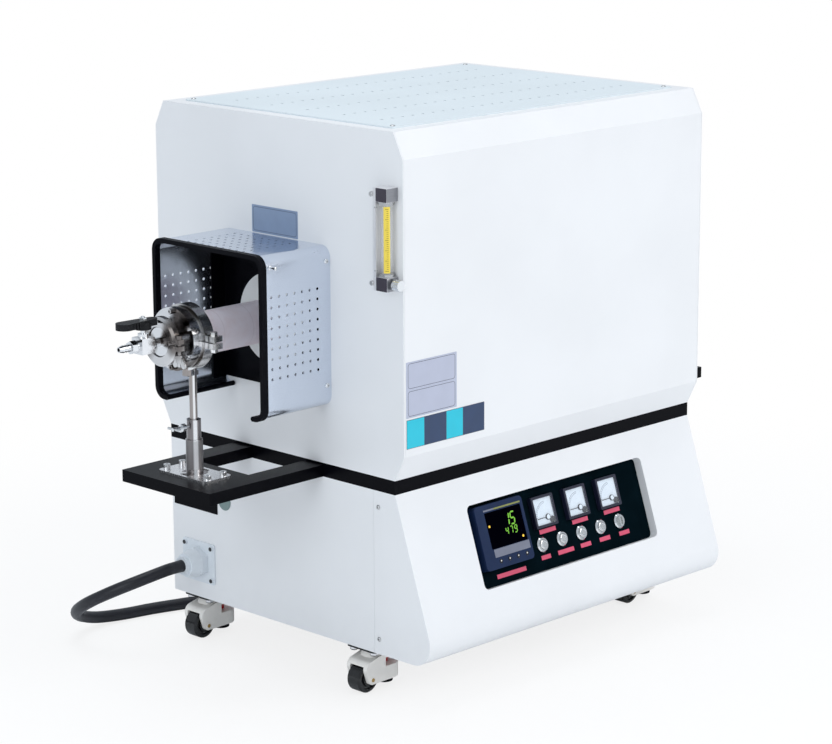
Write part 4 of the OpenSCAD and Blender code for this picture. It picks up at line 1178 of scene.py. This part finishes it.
@dataclass(frozen=True)
class Figures:
    """A number in seven-segment figures, in millimetres: its first figure's middle, and its sizes."""

    text: str
    right: float
    up: float
    height: float
    pitch: float
    bar: float
    narrow: float = 0.46
    gap: float = 0.35
    lean: float = math.tan(math.radians(8.0))

    def outline(self, segment: str) -> np.ndarray:
        """The outline of one bar round its figure's middle.

        Args:
            segment: the bar's letter.

        Returns:
            (6, 2) points: a hexagon that lies or stands at its spot, leaned right by lean * up.
        """
        wide, tall = self.height * self.narrow, self.height / 2
        across, up, upright = SPOTS[segment]
        tip = ((tall if upright else wide) - self.bar * self.gap) / 2
        half = self.bar / 2
        rise = np.array([0, -half, -half, 0, half, half])
        run = np.array([-tip, half - tip, tip - half, tip, tip - half, half - tip])
        points = np.stack([rise, -run] if upright else [run, rise], -1)
        points = points + [across * wide / 2, up * tall / 2]
        points[:, 0] += points[:, 1] * self.lean
        return points

    def outlines(self) -> list[np.ndarray]:
        """The outlines of every lit bar.

        Returns:
            One (6, 2) array for each bar, in the display's axes.
        """
        return [
            self.outline(segment) + [self.right + step * self.pitch, self.up]
            for step, figure in enumerate(self.text)
            for segment in SEGMENTS[figure]
        ]


@dataclass
class Controls(Assembly):
    """The control panel: controller, meters, buttons, key switch and their bare strips."""

    panel_out: float = -13.5
    ctl_x: float = -127.0
    ctl_s: float = 92.5
    ctl_proud: float = 14.5
    window: Patch = Patch(6.25, 8.25, 74.0, 52.0, 1.2)
    window_thick: float = 0.35
    low_band: Patch = Patch(8.5, -24.25, 73.0, 11.8, 0.8)
    top_band: Patch = Patch(-21.1, 37.5, 21.0, 2.4, 0.3)
    olive_band: Patch = Patch(16.7, 37.5, 54.6, 2.4, 0.3)
    band_thick: float = 1.2
    numbers: tuple[Figures, ...] = (
        Figures("15", 11.6, 18.1, 17.0, 11.5, 2.2), Figures("479", 7.2, 1.9, 10.0, 9.0, 1.5),
    )
    digit_levels: tuple[float, float] = (0.02, 0.16)
    lamps: tuple[Patch, ...] = (Patch(-25.6, 14.5, 3.2, 3.0, 0.4), Patch(36.4, -11.0, 3.2, 3.0, 0.4))
    key_shift: float = 8.3
    keys: tuple[float, ...] = (-27.0, -9.0, 9.0, 27.0)
    key_s: float = 129.0
    key_proud: float = 1.0
    # Offset and profile of the painted highlight dot on each key.
    glint_shift: tuple[float, float] = (-0.6, 0.6)
    painted_glint: Profile = ((-0.1, 1.1), (0.12, 1.1), (0.2, 0.9), (0.2, 0.0))
    meters: Triple = (-30.3, 40.0, 110.3)
    meter_s: float = 79.0
    card_out: float = 5.03
    card_thick: float = 0.3
    card_size: float = 38.2
    pane_size: float = 38.3
    pane_base: float = 2.42
    pivot: tuple[float, float] = (5.5, -9.5)
    dial_turn: tuple[float, float] = (94.0, 176.0)
    dial_arcs: tuple[tuple[float, float], ...] = ((23.4, 0.4), (20.8, 0.25))
    arc_thick: float = 0.07
    ticks: int = 11
    tick: Triple = (1.6, 2.6, 0.4)
    hub_rim: Profile = ((0.45, 4.42), (1.9, 4.42), (2.34, 4.3), (2.34, 3.5), (2.32, 3.5))
    hub_face: Profile = ((1.0, 3.55), (2.33, 3.55), (2.33, 0.0))
    zero_spot: Triple = (13.4, -14.5, 1.6)
    zero_screw: Profile = ((0.0, 4.65), (0.5, 4.65), (0.75, 4.2), (0.75, 0.0))
    button_s: float = 125.2
    button_out: float = 6.2
    button_dish: Profile = ((-0.6, 5.6), (0.55, 5.6), (0.9, 5.2), (0.9, 4.4), (0.62, 4.0), (0.62, 0.0))
    buttons: tuple[float, ...] = (-44.7, -2.4, 39.9, 82.2)
    strips: tuple[Triple, ...] = (
        (-25.8, 107.6, 34.5), (45.0, 107.6, 34.0), (115.7, 107.6, 34.7), (-116.2, 150.6, 60.5),
        (-41.0, 144.0, 19.6), (2.1, 144.0, 34.2), (45.6, 144.0, 22.5), (88.0, 144.0, 23.3),
        (131.8, 144.0, 22.7),
    )
    strip_high: float = 6.3
    strip_thick: float = 0.35

    def build(self) -> None:
        """Dresses the panel's nodes and adds what is printed, lit or glazed."""
        self.dress("panel_film", "control_panel")
        self.dress("controller_bezel", "controller_case")
        self.dress("key_cap", *(f"controller_key_{i}" for i in range(1, 5)))
        self.dress("meter_moulding", "meter_cases")
        self.dress("needle_paint", *(f"meter_needle_{i}" for i in range(1, 4)))
        self.dress("bright_chrome", "button_bezels")
        self.dress("button_steel", "key_switch", *(f"push_button_{i}" for i in range(1, 5)))
        self.add_display()
        for number, x in enumerate(self.meters, 1):
            self.add_meter(number, x)
        self.add_button_rings()
        self.add_key_dots()
        self.add_strips()

    def add_display(self) -> None:
        """Adds the controller's window, its two lit numbers, two lamps and the bands round them."""
        face = rake_face(self.ctl_x, self.ctl_s, self.panel_out + self.ctl_proud - 1.0)
        glass = face.moved(0, 0, self.window_thick)
        window = Shape()
        spot = face.moved(self.window.across, self.window.up)
        window.slab(spot, self.window.outline(), self.window_thick, 0.1)
        window.piece("display_window", ROOT, self.palette["display_window"])
        band = Shape()
        for patch, slot in ((self.low_band, 0), (self.top_band, 0), (self.olive_band, 1)):
            spot = face.moved(patch.across, patch.up)
            band.slab(spot, patch.outline(), self.band_thick, 0.1, slot=slot)
        band.piece("display_bands", ROOT, *self.finishes("display_band", "olive_band"))
        digits = Shape()
        for number in self.numbers:
            for bar in number.outlines():
                rings = [np.column_stack([bar, np.full(len(bar), h)]) for h in self.digit_levels]
                digits.grid(glass.at(np.stack(rings)))
        digits.piece("display_digits", ROOT, self.palette["lit_green"])
        lamps = Shape()
        for patch in self.lamps:
            lamps.slab(glass.moved(patch.across, patch.up), patch.outline(), 0.15, 0.03)
        lamps.piece("display_lamps", ROOT, self.palette["lit_amber"])

    def add_meter(self, number: int, x: float) -> None:
        """Adds a meter's card, its zero screw, the cap on its needle's hub and its pane.

        Args:
            number: which meter, from 1.
            x: its middle.
        """
        floor = rake_face(x, self.meter_s, self.panel_out + self.card_out)
        self.add_card(number, floor)
        cover = Shape()
        cover.lathe(floor.moved(*self.zero_spot), self.zero_screw, 28)
        cover.piece(f"meter_{number}_zero_screw", ROOT, self.palette["needle_paint"])
        cap = Shape()
        hub = floor.moved(*self.pivot)
        cap.lathe(hub, self.hub_rim, 32, slot=1)
        cap.lathe(hub, self.hub_face, 32, slot=0)
        body = f"meter_needle_{number}"
        cap.piece(f"meter_{number}_hub_cap", body, *self.finishes("meter_card", "needle_paint"))
        pane = Shape()
        pane.slab(floor, rounded(self.pane_size, self.pane_size, 0.8), 0.3, 0.1, base=self.pane_base)
        pane.piece(f"meter_{number}_pane", ROOT, self.palette["meter_pane"])

    def add_card(self, number: int, floor: Place) -> None:
        """Adds a meter's card, with two printed arcs and their marks round the needle's pivot.

        Args:
            number: which meter, from 1.
            floor: the middle of the case's floor.
        """
        card = Shape()
        card.slab(floor, rounded(self.card_size, self.card_size, 0.8), self.card_thick, 0.05)
        pivot = floor.moved(*self.pivot, self.card_thick)
        angle = np.radians(np.linspace(*self.dial_turn, 25))[:, None]
        ray = np.concatenate([np.cos(angle), np.sin(angle)], 1)
        for radius, width in self.dial_arcs:
            half, top = width / 2, self.arc_thick
            edges = ((-half, 0.0), (-half, top), (half, top), (half, 0.0))
            rows = [np.column_stack([(radius + side) * ray, np.full(25, lift)]) for side, lift in edges]
            card.grid(pivot.at(np.stack(rows, 1)), slot=1)
        foot = self.dial_arcs[-1][0]
        short, tall, wide = self.tick
        for i, turn in enumerate(np.linspace(*self.dial_turn, self.ticks)):
            long = tall if i % 5 == 0 else short
            tick = pivot.turned(turn).moved(foot + long / 2, 0)
            card.slab(tick, rounded(long, wide, 0.05), 0.08, 0.0, slot=1)
        card.piece(f"meter_{number}_card", ROOT, *self.finishes("meter_card", "dial_ink"))

    def add_key_dots(self) -> None:
        """Adds the painted highlight on each controller key, a pale dot up and left of its middle, which
        moves with it.
        """
        out = self.panel_out + self.ctl_proud + self.key_proud
        for number, right in enumerate(self.keys, 1):
            spot = rake_face(self.ctl_x + self.key_shift + right, self.key_s, out)
            shape = Shape()
            # Painted highlight: a pale glint dot on the dark key.
            shape.lathe(spot.moved(*self.glint_shift), self.painted_glint, 16)
            key = f"controller_key_{number}"
            shape.piece(f"{key}_dot", key, self.palette["key_dot"])

    def add_button_rings(self) -> None:
        """Adds the raised ring and shallow dish on each push button, which move with it."""
        for number, x in enumerate(self.buttons, 1):
            shape = Shape()
            top = rake_face(x, self.button_s, self.panel_out + self.button_out)
            shape.lathe(top, self.button_dish, 32)
            button = f"push_button_{number}"
            shape.piece(f"{button}_ring", button, self.palette["bright_chrome"])

    def add_strips(self) -> None:
        """Adds the bare strips under the meters, the buttons and the controller."""
        shape = Shape()
        for x, s, width in self.strips:
            outline = rounded(width, self.strip_high, 0.5)
            shape.slab(rake_face(x, s, self.panel_out), outline, self.strip_thick, 0.08)
        shape.piece("panel_strips", ROOT, self.palette["pink_strip"])


@dataclass
class TubeEnds(Assembly):
    """Both ends of the work tube: guards, flanges, clamps, valves and posts."""

    guard_screw_x: float = 8.0
    guard_screw_z: tuple[float, float] = (115.8, 290.6)
    guard_half: float = 111.0
    guard_head: tuple[float, float] = (3.6, 2.4)
    pin_x: float = 112.0
    pin_z: float = 296.0
    pin: Profile = (
        (0.0, 3.4), (1.2, 3.4), (1.6, 2.0), (9.0, 2.0), (9.6, 2.6), (12.0, 2.6), (12.6, 1.6), (12.6, 0.0),
    )
    post_x: float = 472.0
    foot_z: float = DECK_Z + 6.0
    foot_bolt: tuple[float, float] = (14.0, 43.0)
    bolt_rim: Profile = ((-0.2, 4.6), (0.0, 5.0), (0.5, 4.7), (0.5, 2.6), (-0.1, 2.5))
    # Painted shade: the flat black hexagon for the deep socket in each foot bolt.
    socket_shade: Profile = ((0.05, 2.5), (0.12, 2.5), (0.12, 0.0))
    lever_x: float = 557.9
    lever_z: float = 551.0
    nut: Triple = (5.2, 3.0, 0.4)
    stem: Profile = ((2.8, 2.8), (4.2, 2.8), (4.8, 2.2), (4.8, 0.0))

    def build(self) -> None:
        """Dresses the tube's nodes, and adds the guards' fixings, the foot sockets and the lever nuts."""
        self.dress("alumina_tube", "furnace_tube")
        self.dress("fibre_board", "insulation")
        self.dress("silicide_element", "heating_elements")
        self.dress("black_powder_coat", "end_plates")
        self.dress("guard_sheet", "guards")
        self.dress("edge_rubber", "guard_trims")
        self.dress("turned_flange", "sealing_flanges")
        self.dress("turned_fitting", "gas_fittings")
        self.dress("cast_clamp", "tube_clamp_caps")
        self.dress("turned_clamp", "kf_clamps")
        self.dress("knurled_post", "post_sockets")
        self.dress("post_rod_steel", "left_post_rod", "right_post_rod")
        self.dress("bright_chrome", "left_clamp_screw", "right_clamp_screw")
        self.dress("lever_grip", "left_valve_lever", "right_valve_lever")
        for side in (-1, 1):
            self.add_guard_fixings(side)
            self.add_socket_screws(side)
            self.add_lever_nut(side)

    def add_guard_fixings(self, side: int) -> None:
        """Adds four domed screws and one spring pin to a guard.

        Args:
            side: -1 for the left end and 1 for the right.
        """
        shape = Shape()
        for wall in (-1, 1):
            for z in self.guard_screw_z:
                spot = self.guard_wall(side, wall).moved(self.guard_screw_x, z)
                pan_screw(shape, spot, *self.guard_head)
        shape.lathe(self.guard_wall(side, -1).moved(self.pin_x, self.pin_z), self.pin, 18)
        shape.piece(f"{hand(side)}_guard_fixings", ROOT, self.palette["bright_chrome"])

    def guard_wall(self, side: int, wall: int) -> Place:
        """The foot of a guard's wall, where it leaves the housing.

        Args:
            side: -1 for the left end and 1 for the right.
            wall: -1 for the front wall and 1 for the rear.

        Returns:
            The spot, with its first axis away from the housing and its third out of the wall.
        """
        origin = (side * HALF_W, HOME_Y + wall * self.guard_half, DECK_Z)
        return Place(origin, (side, 0, 0), (0, 0, 1), (0, wall, 0))

    def add_socket_screws(self, side: int) -> None:
        """Adds the knurled rims on the bolts of a post's foot, each with a flat black hexagon inside as
        painted shade for its deep socket.

        Args:
            side: -1 for the left end and 1 for the right.
        """
        shape = Shape()
        bolt_x, bolt_y = self.foot_bolt
        for sx in (-bolt_x, bolt_x):
            for sy in (-bolt_y, bolt_y):
                place = top_face(side * (self.post_x + sx), sy, self.foot_z)
                shape.lathe(place, self.bolt_rim, 24, slot=0)
                # Painted shade: a flat black hexagon stands for the dark of the deep socket.
                shape.lathe(place, self.socket_shade, 6, slot=1)
        shape.piece(f"{hand(side)}_foot_sockets", ROOT, *self.finishes("bright_chrome", "edge_rubber"))

    def add_lever_nut(self, side: int) -> None:
        """Adds the nut and stem end on a valve lever, which turn with it.

        Args:
            side: -1 for the left end and 1 for the right.
        """
        shape = Shape()
        place = top_face(side * self.lever_x, 0, self.lever_z)
        radius, high, bevel = self.nut
        shape.slab(place, circle(radius, 6), high, bevel)
        shape.lathe(place, self.stem, 20)
        lever = f"{hand(side)}_valve_lever"
        shape.piece(f"{hand(side)}_lever_nut", lever, self.palette["bright_chrome"])


@dataclass
class FlowMeter(Assembly):
    """The flow meter on the left side."""

    x: float = -326.0
    y: float = -233.0
    low: float = 589.0
    high: float = 729.0
    block: float = 19.0
    half: float = 10.5
    cheek: float = 20.4
    clear_r: float = 8.6
    scale_thick: float = 0.15
    scale_turn: tuple[float, float] = (195.0, 255.0)
    scale_in: float = 6.0
    marks: int = 31
    marks_in: float = 3.0
    mark: Triple = (2.6, 4.4, 0.5)
    mark_end: float = 2.3
    channel_screw: Triple = (-12.0, 8.0, -3.0)
    channel_head: tuple[float, float] = (1.6, 3.6)
    collar_r: float = 11.0
    collar_high: float = 4.4
    back: float = 15.4
    fitting: Profile = ((0.0, 5.4), (5.4, 5.4), (5.9, 4.8), (5.9, 3.2))
    elbow_spot: tuple[float, float] = (-4.0, 18.4)
    elbow: Profile = ((0.0, 2.6), (4.0, 2.6), (4.0, 3.4), (8.0, 3.4), (8.4, 2.8), (8.4, 0.0))

    def build(self) -> None:
        """Dresses the meter's nodes and adds its scale, the blocks' sides with painted shade and fronts
        with painted light, and its collars.
        """
        self.dress("channel_aluminium", "rotameter_body")
        self.dress("clear_block", "rotameter_tube")
        self.dress("screw_steel", "rotameter_float")
        self.dress("bright_chrome", "rotameter_knob")
        self.add_scale()
        self.add_cheeks()
        self.add_collars()

    def add_scale(self) -> None:
        """Adds the yellow scale with its marks, wrapped round the near side of the clear tube."""
        shape = Shape()
        middle = (self.low + self.high) / 2
        length = self.high - self.low - 2 * (self.block + self.scale_in)
        turn = np.radians(np.linspace(*self.scale_turn, 15))[:, None]
        ray = np.concatenate([np.cos(turn), np.sin(turn)], 1)
        arc = np.concatenate([(self.clear_r + self.scale_thick) * ray, self.clear_r * ray[::-1]])
        ends = [np.column_stack([arc, np.full(len(arc), h)]) for h in (-length / 2, length / 2)]
        shape.grid(top_face(self.x, self.y, middle).at(np.stack(ends)), slot=0)
        c = math.sqrt(0.5)
        face = Place((self.x, HOME_Y + self.y, middle), (c, -c, 0), (0, 0, 1), (-c, -c, 0))
        short, tall, wide = self.mark
        for i in range(self.marks):
            long = tall if i % 5 == 0 else short
            up = (i / (self.marks - 1) - 0.5) * (length - 2 * self.marks_in)
            spot = face.moved(self.mark_end - long / 2, up, self.clear_r)
            shape.slab(spot, rounded(long, wide, 0.05), 0.3, 0.0, slot=1)
        shape.piece("flow_scale", ROOT, *self.finishes("scale_yellow", "scale_ink"))

    def add_cheeks(self) -> None:
        """Adds a skin on each block's left side, darkened as painted shade, a lighter one on its front as
        painted light, and the screws of the back channel.
        """
        shape = Shape()
        left = Place((self.x - self.half, HOME_Y + self.y, 0), (0, -1, 0), (0, 0, 1), (-1, 0, 0))
        outline = rounded(self.cheek, self.block - 0.6, 0.8)
        for z in (self.low + self.block / 2, self.high - self.block / 2):
            # Painted shade on the block's left side and painted light on its front: one metal in two
            # tones by face.
            shape.slab(left.moved(0, z, 0), outline, 0.25, 0.08, slot=0)
            origin = (self.x, HOME_Y + self.y - self.half, z)
            shape.slab(Place(origin, (1, 0, 0), (0, 0, 1), (0, -1, 0)), outline, 0.2, 0.08, slot=2)
        across, up, out = self.channel_screw
        for z in (self.low + self.block + up, self.high - self.block - up):
            pan_screw(shape, left.moved(across, z, out), *self.channel_head, slot=1)
        finishes = self.finishes("block_side", "screw_steel", "block_front")
        shape.piece("flow_block_cheeks", ROOT, *finishes)

    def add_collars(self) -> None:
        """Adds the clear tube's six-sided collars, and a fitting and an elbow behind each block."""
        shape = Shape()
        for z in (self.low + self.block, self.high - self.block - self.collar_high):
            spot = top_face(self.x, self.y, z).turned(30.0)
            shape.slab(spot, circle(self.collar_r, 6), self.collar_high, 0.4)
        shift, depth = self.elbow_spot
        for z in (self.low + self.block / 2, self.high - self.block / 2):
            back = Place((self.x, HOME_Y + self.y + self.back, z), (1, 0, 0), (0, 0, 1), (0, 1, 0))
            shape.lathe(back, self.fitting, 24)
            origin = (self.x + shift, HOME_Y + self.y + depth, z)
            shape.lathe(Place(origin, (0, -1, 0), (0, 0, 1), (-1, 0, 0)), self.elbow, 20)
        shape.piece("flow_collars", ROOT, self.palette["screw_steel"])


@dataclass
class Casters(Assembly):
    """The four levelling casters."""

    x: float = 284.0
    front_y: float = -160.0
    rear_y: float = 189.0
    trail: float = 23.0
    foot: float = 19.0
    axle_z: float = 20.5
    axle_half: float = 20.0
    axle_end: Profile = ((0.9, 2.9), (1.4, 2.9), (1.7, 2.4), (1.7, 0.0))
    sole_z: float = 6.0
    sole: Profile = (
        (0.0, 11.2), (0.0, 12.25), (0.9, 12.5), (2.2, 12.5), (3.2, 12.1), (3.2, 5.3),
    )
    rim_z: float = 43.3
    rim: Profile = (
        (0.0, 12.6), (0.0, 14.9), (0.5, 15.4), (3.2, 15.4), (3.7, 14.9), (3.7, 12.6),
    )
    nut_half_pitch: float = 20.0
    nut_z: float = 62.0
    nut: Triple = (6.3, 4.6, 0.5)

    def build(self) -> None:
        """Dresses the casters and adds axle ends, soles, thumbwheel rims and nuts."""
        self.dress("black_caster_plate", "caster_plates")
        for end, y in (("front", self.front_y), ("rear", self.rear_y)):
            for side, x in (("left", -self.x), ("right", self.x)):
                place = f"{end}_{side}"
                self.dress("caster_casting", f"fork_{place}")
                self.dress("caster_nylon", f"wheel_{place}")
                self.dress("thumbwheel_red", f"foot_{place}")
                self.add_axle_ends(place, x, y)
                self.add_pad(place, x, y)
                self.add_thumb_rim(place, x, y)
        self.add_nuts()

    def add_axle_ends(self, place: str, x: float, y: float) -> None:
        """Adds the riveted ends of a caster's axle.

        Args:
            place: the caster's name.
            x, y: its swivel axis.
        """
        shape = Shape()
        for side in (-1, 1):
            origin = (x - self.trail, HOME_Y + y + side * self.axle_half, self.axle_z)
            spot = Place(origin, (1, 0, 0), (0, 0, 1), (0, side, 0))
            shape.lathe(spot, self.axle_end, 20)
        shape.piece(f"axle_ends_{place}", f"fork_{place}", self.palette["pin_brass"])

    def add_pad(self, place: str, x: float, y: float) -> None:
        """Adds the ribbed rubber sole of a levelling foot.

        Args:
            place: the caster's name.
            x, y: its swivel axis.
        """
        shape = Shape()
        shape.lathe(top_face(x + self.foot, y, self.sole_z), self.sole, 32)
        shape.piece(f"foot_sole_{place}", f"foot_{place}", self.palette["edge_rubber"])

    def add_thumb_rim(self, place: str, x: float, y: float) -> None:
        """Adds the red rim of a levelling foot's thumbwheel, which moves in the housing's window.

        Args:
            place: the caster's name.
            x, y: its swivel axis.
        """
        shape = Shape()
        shape.lathe(top_face(x + self.foot, y, self.rim_z), self.rim, 48)
        shape.piece(f"thumb_rim_{place}", f"foot_{place}", self.palette["thumbwheel_red"])

    def add_nuts(self) -> None:
        """Adds the pale nuts that show below each caster plate."""
        shape = Shape()
        radius, high, bevel = self.nut
        step = self.nut_half_pitch
        corners = [(sx * step, sy * step) for sx in (-1, 1) for sy in (-1, 1)]
        for x in (-self.x, self.x):
            for y in (self.front_y, self.rear_y):
                for dx, dy in corners:
                    origin = (x + dx, HOME_Y + y + dy, self.nut_z)
                    spot = Place(origin, (1, 0, 0), (0, -1, 0), (0, 0, -1))
                    shape.slab(spot, circle(radius, 6), high, bevel)
        shape.piece("caster_nuts", ROOT, self.palette["channel_aluminium"])


@dataclass
class Supply(Assembly):
    """The supply cable: gland, cord, coil, plug, and the power unit that it feeds."""

    gland: tuple[float, float] = (176.0, CABINET_Z + 56.0)
    gland_bolt: tuple[float, float] = (29.0, 24.5)
    gland_head: Profile = ((4.9, 3.1), (5.6, 3.1), (6.0, 2.5), (6.0, 1.4), (5.4, 1.2), (5.4, 0.0))
    radius: float = 9.0
    route: tuple[Triple, ...] = (
        (-350, 200, 122), (-370, 200, 122), (-385, 200, 121.3), (-425, 210.7, 112.8),
        (-454.3, 240, 95.9), (-465, 280, 73.5), (-454.3, 320, 49.7), (-425, 349.3, 28.7),
        (-385, 360, 14.3), (-337.5, 356, 9), (-290, 345, 9), (-242.5, 330, 9),
        (-195, 315, 9), (-147.5, 304, 9), (-100, 300, 9), (-68, 300, 9),
        (-36, 300, 9), (-4, 300, 9),
    )
    tail: tuple[Triple, ...] = (
        (84, 300, 62), (120, 300, 56), (156, 300, 44), (192, 300, 33),
        (228, 300, 28), (264, 300, 28),
    )
    coil_centre: tuple[float, float] = (40.0, 400.0)
    coil_radius: float = 100.0
    turns: int = 3
    turn_points: int = 24

    def build(self) -> None:
        """Dresses the gland, the plug and the power unit, and adds the gland's screws and the cord."""
        self.dress("gland_nylon", "cable_gland")
        self.dress("plug_blue", "cord_plug")
        self.dress("winding_metal", "power_unit")
        self.add_gland_screws()
        self.add_cord()

    def add_gland_screws(self) -> None:
        """Adds the four dark heads on the gland's plate."""
        shape = Shape()
        (y, z), (bolt_y, bolt_z) = self.gland, self.gland_bolt
        for dy in (-bolt_y, bolt_y):
            for dz in (-bolt_z, bolt_z):
                shape.lathe(side_face(-1, y + dy, z + dz), self.gland_head, 20)
        shape.piece("gland_screws", ROOT, self.palette["screw_dark"])

    def line(self) -> np.ndarray:
        """The cord's whole centreline: the run, the coil's helix and the tail, smoothed.

        Returns:
            (n, 3) points in metres. The coil is centre + R (cos t, sin t), rising 2 r for each turn;
            between chosen points the line is a Catmull-Rom curve.
        """
        steps = self.turns * self.turn_points
        t = np.linspace(0, 1, steps + 1)
        turn = 2 * np.pi * self.turns * t - np.pi / 2
        (cx, cy), wide = self.coil_centre, self.coil_radius
        rise = self.radius + 2 * self.radius * self.turns * t
        helix = np.stack([cx + wide * np.cos(turn), cy + wide * np.sin(turn), rise], -1)
        points = np.concatenate([np.array(self.route, float), helix, np.array(self.tail, float)])
        before = np.concatenate([2 * points[:1] - points[1:2], points[:-1]])[:-1]
        after = np.concatenate([points[1:], 2 * points[-1:] - points[-2:-1]])[1:]
        a, b = points[:-1], points[1:]
        u = np.linspace(0, 1, 4, endpoint=False)[None, :, None]
        bend = a[:, None] * 2 + (b - before)[:, None] * u
        bend += (2 * before - 5 * a + 4 * b - after)[:, None] * u**2
        bend += (3 * a - before - 3 * b + after)[:, None] * u**3
        return np.concatenate([(bend / 2).reshape(-1, 3), points[-1:]]) * MM

    def add_cord(self) -> None:
        path = self.line()
        shape = Shape()
        shape.tube(path, self.radius * MM, 14)
        cord = shape.piece("supply_cord", ROOT, self.palette["cord_rubber"])
        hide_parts("cord_run", "cord_coil")
        plug = self.nodes["cord_plug"]
        exit_at = tuple(float(v) for v in path[0])


@dataclass(frozen=True)
class Lamp:
    """A square area lamp, in metres and watts."""

    name: str
    spot: Triple
    aim: Triple
    size: float
    watts: float
    colour: Triple

    def hang(self) -> None:
        """Adds the lamp at its spot, and points it: its axes are side, side x ahead and -ahead."""
        light = bpy.data.lights.new(self.name, "AREA")
        light.shape = "SQUARE"
        light.size = self.size
        light.energy = self.watts
        light.color = self.colour
        lamp = bpy.data.objects.new(self.name, light)
        ahead = np.array(self.aim) - np.array(self.spot)
        ahead /= np.linalg.norm(ahead)
        side = np.cross(ahead, [0.0, 0.05, 1.0])
        side /= np.linalg.norm(side)
        turn = Matrix(np.column_stack([side, np.cross(side, ahead), -ahead]).tolist())
        lamp.matrix_world = Matrix.Translation(self.spot) @ turn.to_4x4()
        bpy.context.scene.collection.objects.link(lamp)


@dataclass
class Studio:
    """The floor, the lamps, the backdrop and the camera."""

    camera_at: Triple = (-2.8868, -2.7905, 1.3243)
    yaw: float = 45.37
    pitch: float = 13.12
    roll: float = -0.24
    lens: float = 119.63
    sky: Triple = (0.80, 0.87, 0.95)
    soft: float = 0.66
    ground: Triple = (0.93, 0.94, 0.95)
    reach: float = 20.0
    near: float = 0.6
    far: float = 1.5
    lift: float = 0.80
    lamps: tuple[Lamp, ...] = (
        Lamp("key", (1.6, -4.6, 3.4), (0.0, 0.0, 0.4), 3.2, 118.0, (1.0, 0.985, 0.97)),
        Lamp("fill", (-4.8, -0.8, 2.2), (0.0, 0.0, 0.5), 2.8, 46.0, (0.90, 0.96, 1.0)),
        Lamp("top", (0.0, 0.6, 4.6), (0.0, 0.0, 0.4), 3.0, 60.0, (0.96, 0.98, 1.0)),
    )

    def build(self) -> None:
        """Sets up the view and the light."""
        scene = bpy.context.scene
        scene.view_settings.view_transform = "Standard"
        self.add_camera()
        self.add_world()
        self.add_floor()
        for lamp in self.lamps:
            lamp.hang()

    def add_camera(self) -> None:
        """Adds the camera: forward is (sin yaw cos pitch, cos yaw cos pitch, -sin pitch), then rolled."""
        yaw, pitch, roll = (math.radians(v) for v in (self.yaw, self.pitch, self.roll))
        level = math.cos(pitch)
        ahead = np.array([math.sin(yaw) * level, math.cos(yaw) * level, -math.sin(pitch)])
        right = np.array([math.cos(yaw), -math.sin(yaw), 0.0])
        up = np.cross(right, ahead)
        side = right * math.cos(roll) + up * math.sin(roll)
        over = up * math.cos(roll) - right * math.sin(roll)
        turn = Matrix(np.column_stack([side, over, -ahead]).tolist())
        camera = bpy.data.cameras.new("camera")
        camera.sensor_width = 36.0
        camera.lens = self.lens
        camera.clip_end = 100.0
        thing = bpy.data.objects.new("camera", camera)
        thing.matrix_world = Matrix.Translation(self.camera_at) @ turn.to_4x4()
        bpy.context.scene.collection.objects.link(thing)
        bpy.context.scene.camera = thing

    def add_world(self) -> None:
        """Lights the object evenly, and shows white to the camera and through glass."""
        g = Graph("studio", world=True)
        camera = g.node("ShaderNodeLightPath", output="Is Camera Ray")
        glass = g.node("ShaderNodeLightPath", output="Is Transmission Ray")
        soft = g.node("ShaderNodeBackground", None, {"Color": (*self.sky, 1.0), "Strength": self.soft})
        white = g.node("ShaderNodeBackground", None, {"Color": (1.0, 1.0, 1.0, 1.0), "Strength": 1.0})
        shader = g.node("ShaderNodeMixShader", None, {0: camera.at_least(glass), 1: soft, 2: white})
        g.node("ShaderNodeOutputWorld", None, {"Surface": shader})
        bpy.context.scene.world = g.material

    def add_floor(self) -> None:
        """Adds the pale floor, which keeps the object's shadow and looks white elsewhere."""
        g = Graph("studio_floor")
        path = g.node("ShaderNodeLightPath", output="Is Camera Ray")
        x, y, _ = g.split(g.coords())
        far = (x * x + y * y).root().ramp(self.near, self.far, self.lift, 1.0)
        paint = g.node("ShaderNodeBsdfDiffuse", None, {"Color": (*self.ground, 1.0)})
        glow = g.node("ShaderNodeEmission", None, {"Color": (1.0, 1.0, 1.0, 1.0), "Strength": 1.0})
        shader = g.node("ShaderNodeMixShader", None, {0: path * far, 1: paint, 2: glow})
        g.node("ShaderNodeOutputMaterial", None, {"Surface": shader})
        mesh = bpy.data.meshes.new("studio_floor")
        r = self.reach
        mesh.from_pydata([(-r, -r, 0), (r, -r, 0), (r, r, 0), (-r, r, 0)], [], [(0, 1, 2, 3)])
        mesh.materials.append(g.material)
        floor = bpy.data.objects.new("studio_floor", mesh)
        bpy.context.scene.collection.objects.link(floor)


def main() -> None:
    """Builds every group in order."""
    logging.basicConfig(level=logging.INFO, format="%(name)s: %(message)s")
    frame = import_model()
    palette = Palette()
    Studio().build()
    for group in (Supply, Housings, Controls, TubeEnds, FlowMeter, Casters):
        group(frame["nodes"], palette).build()
    LOG.info("sizes written")


if __name__ == "__main__":
    main()
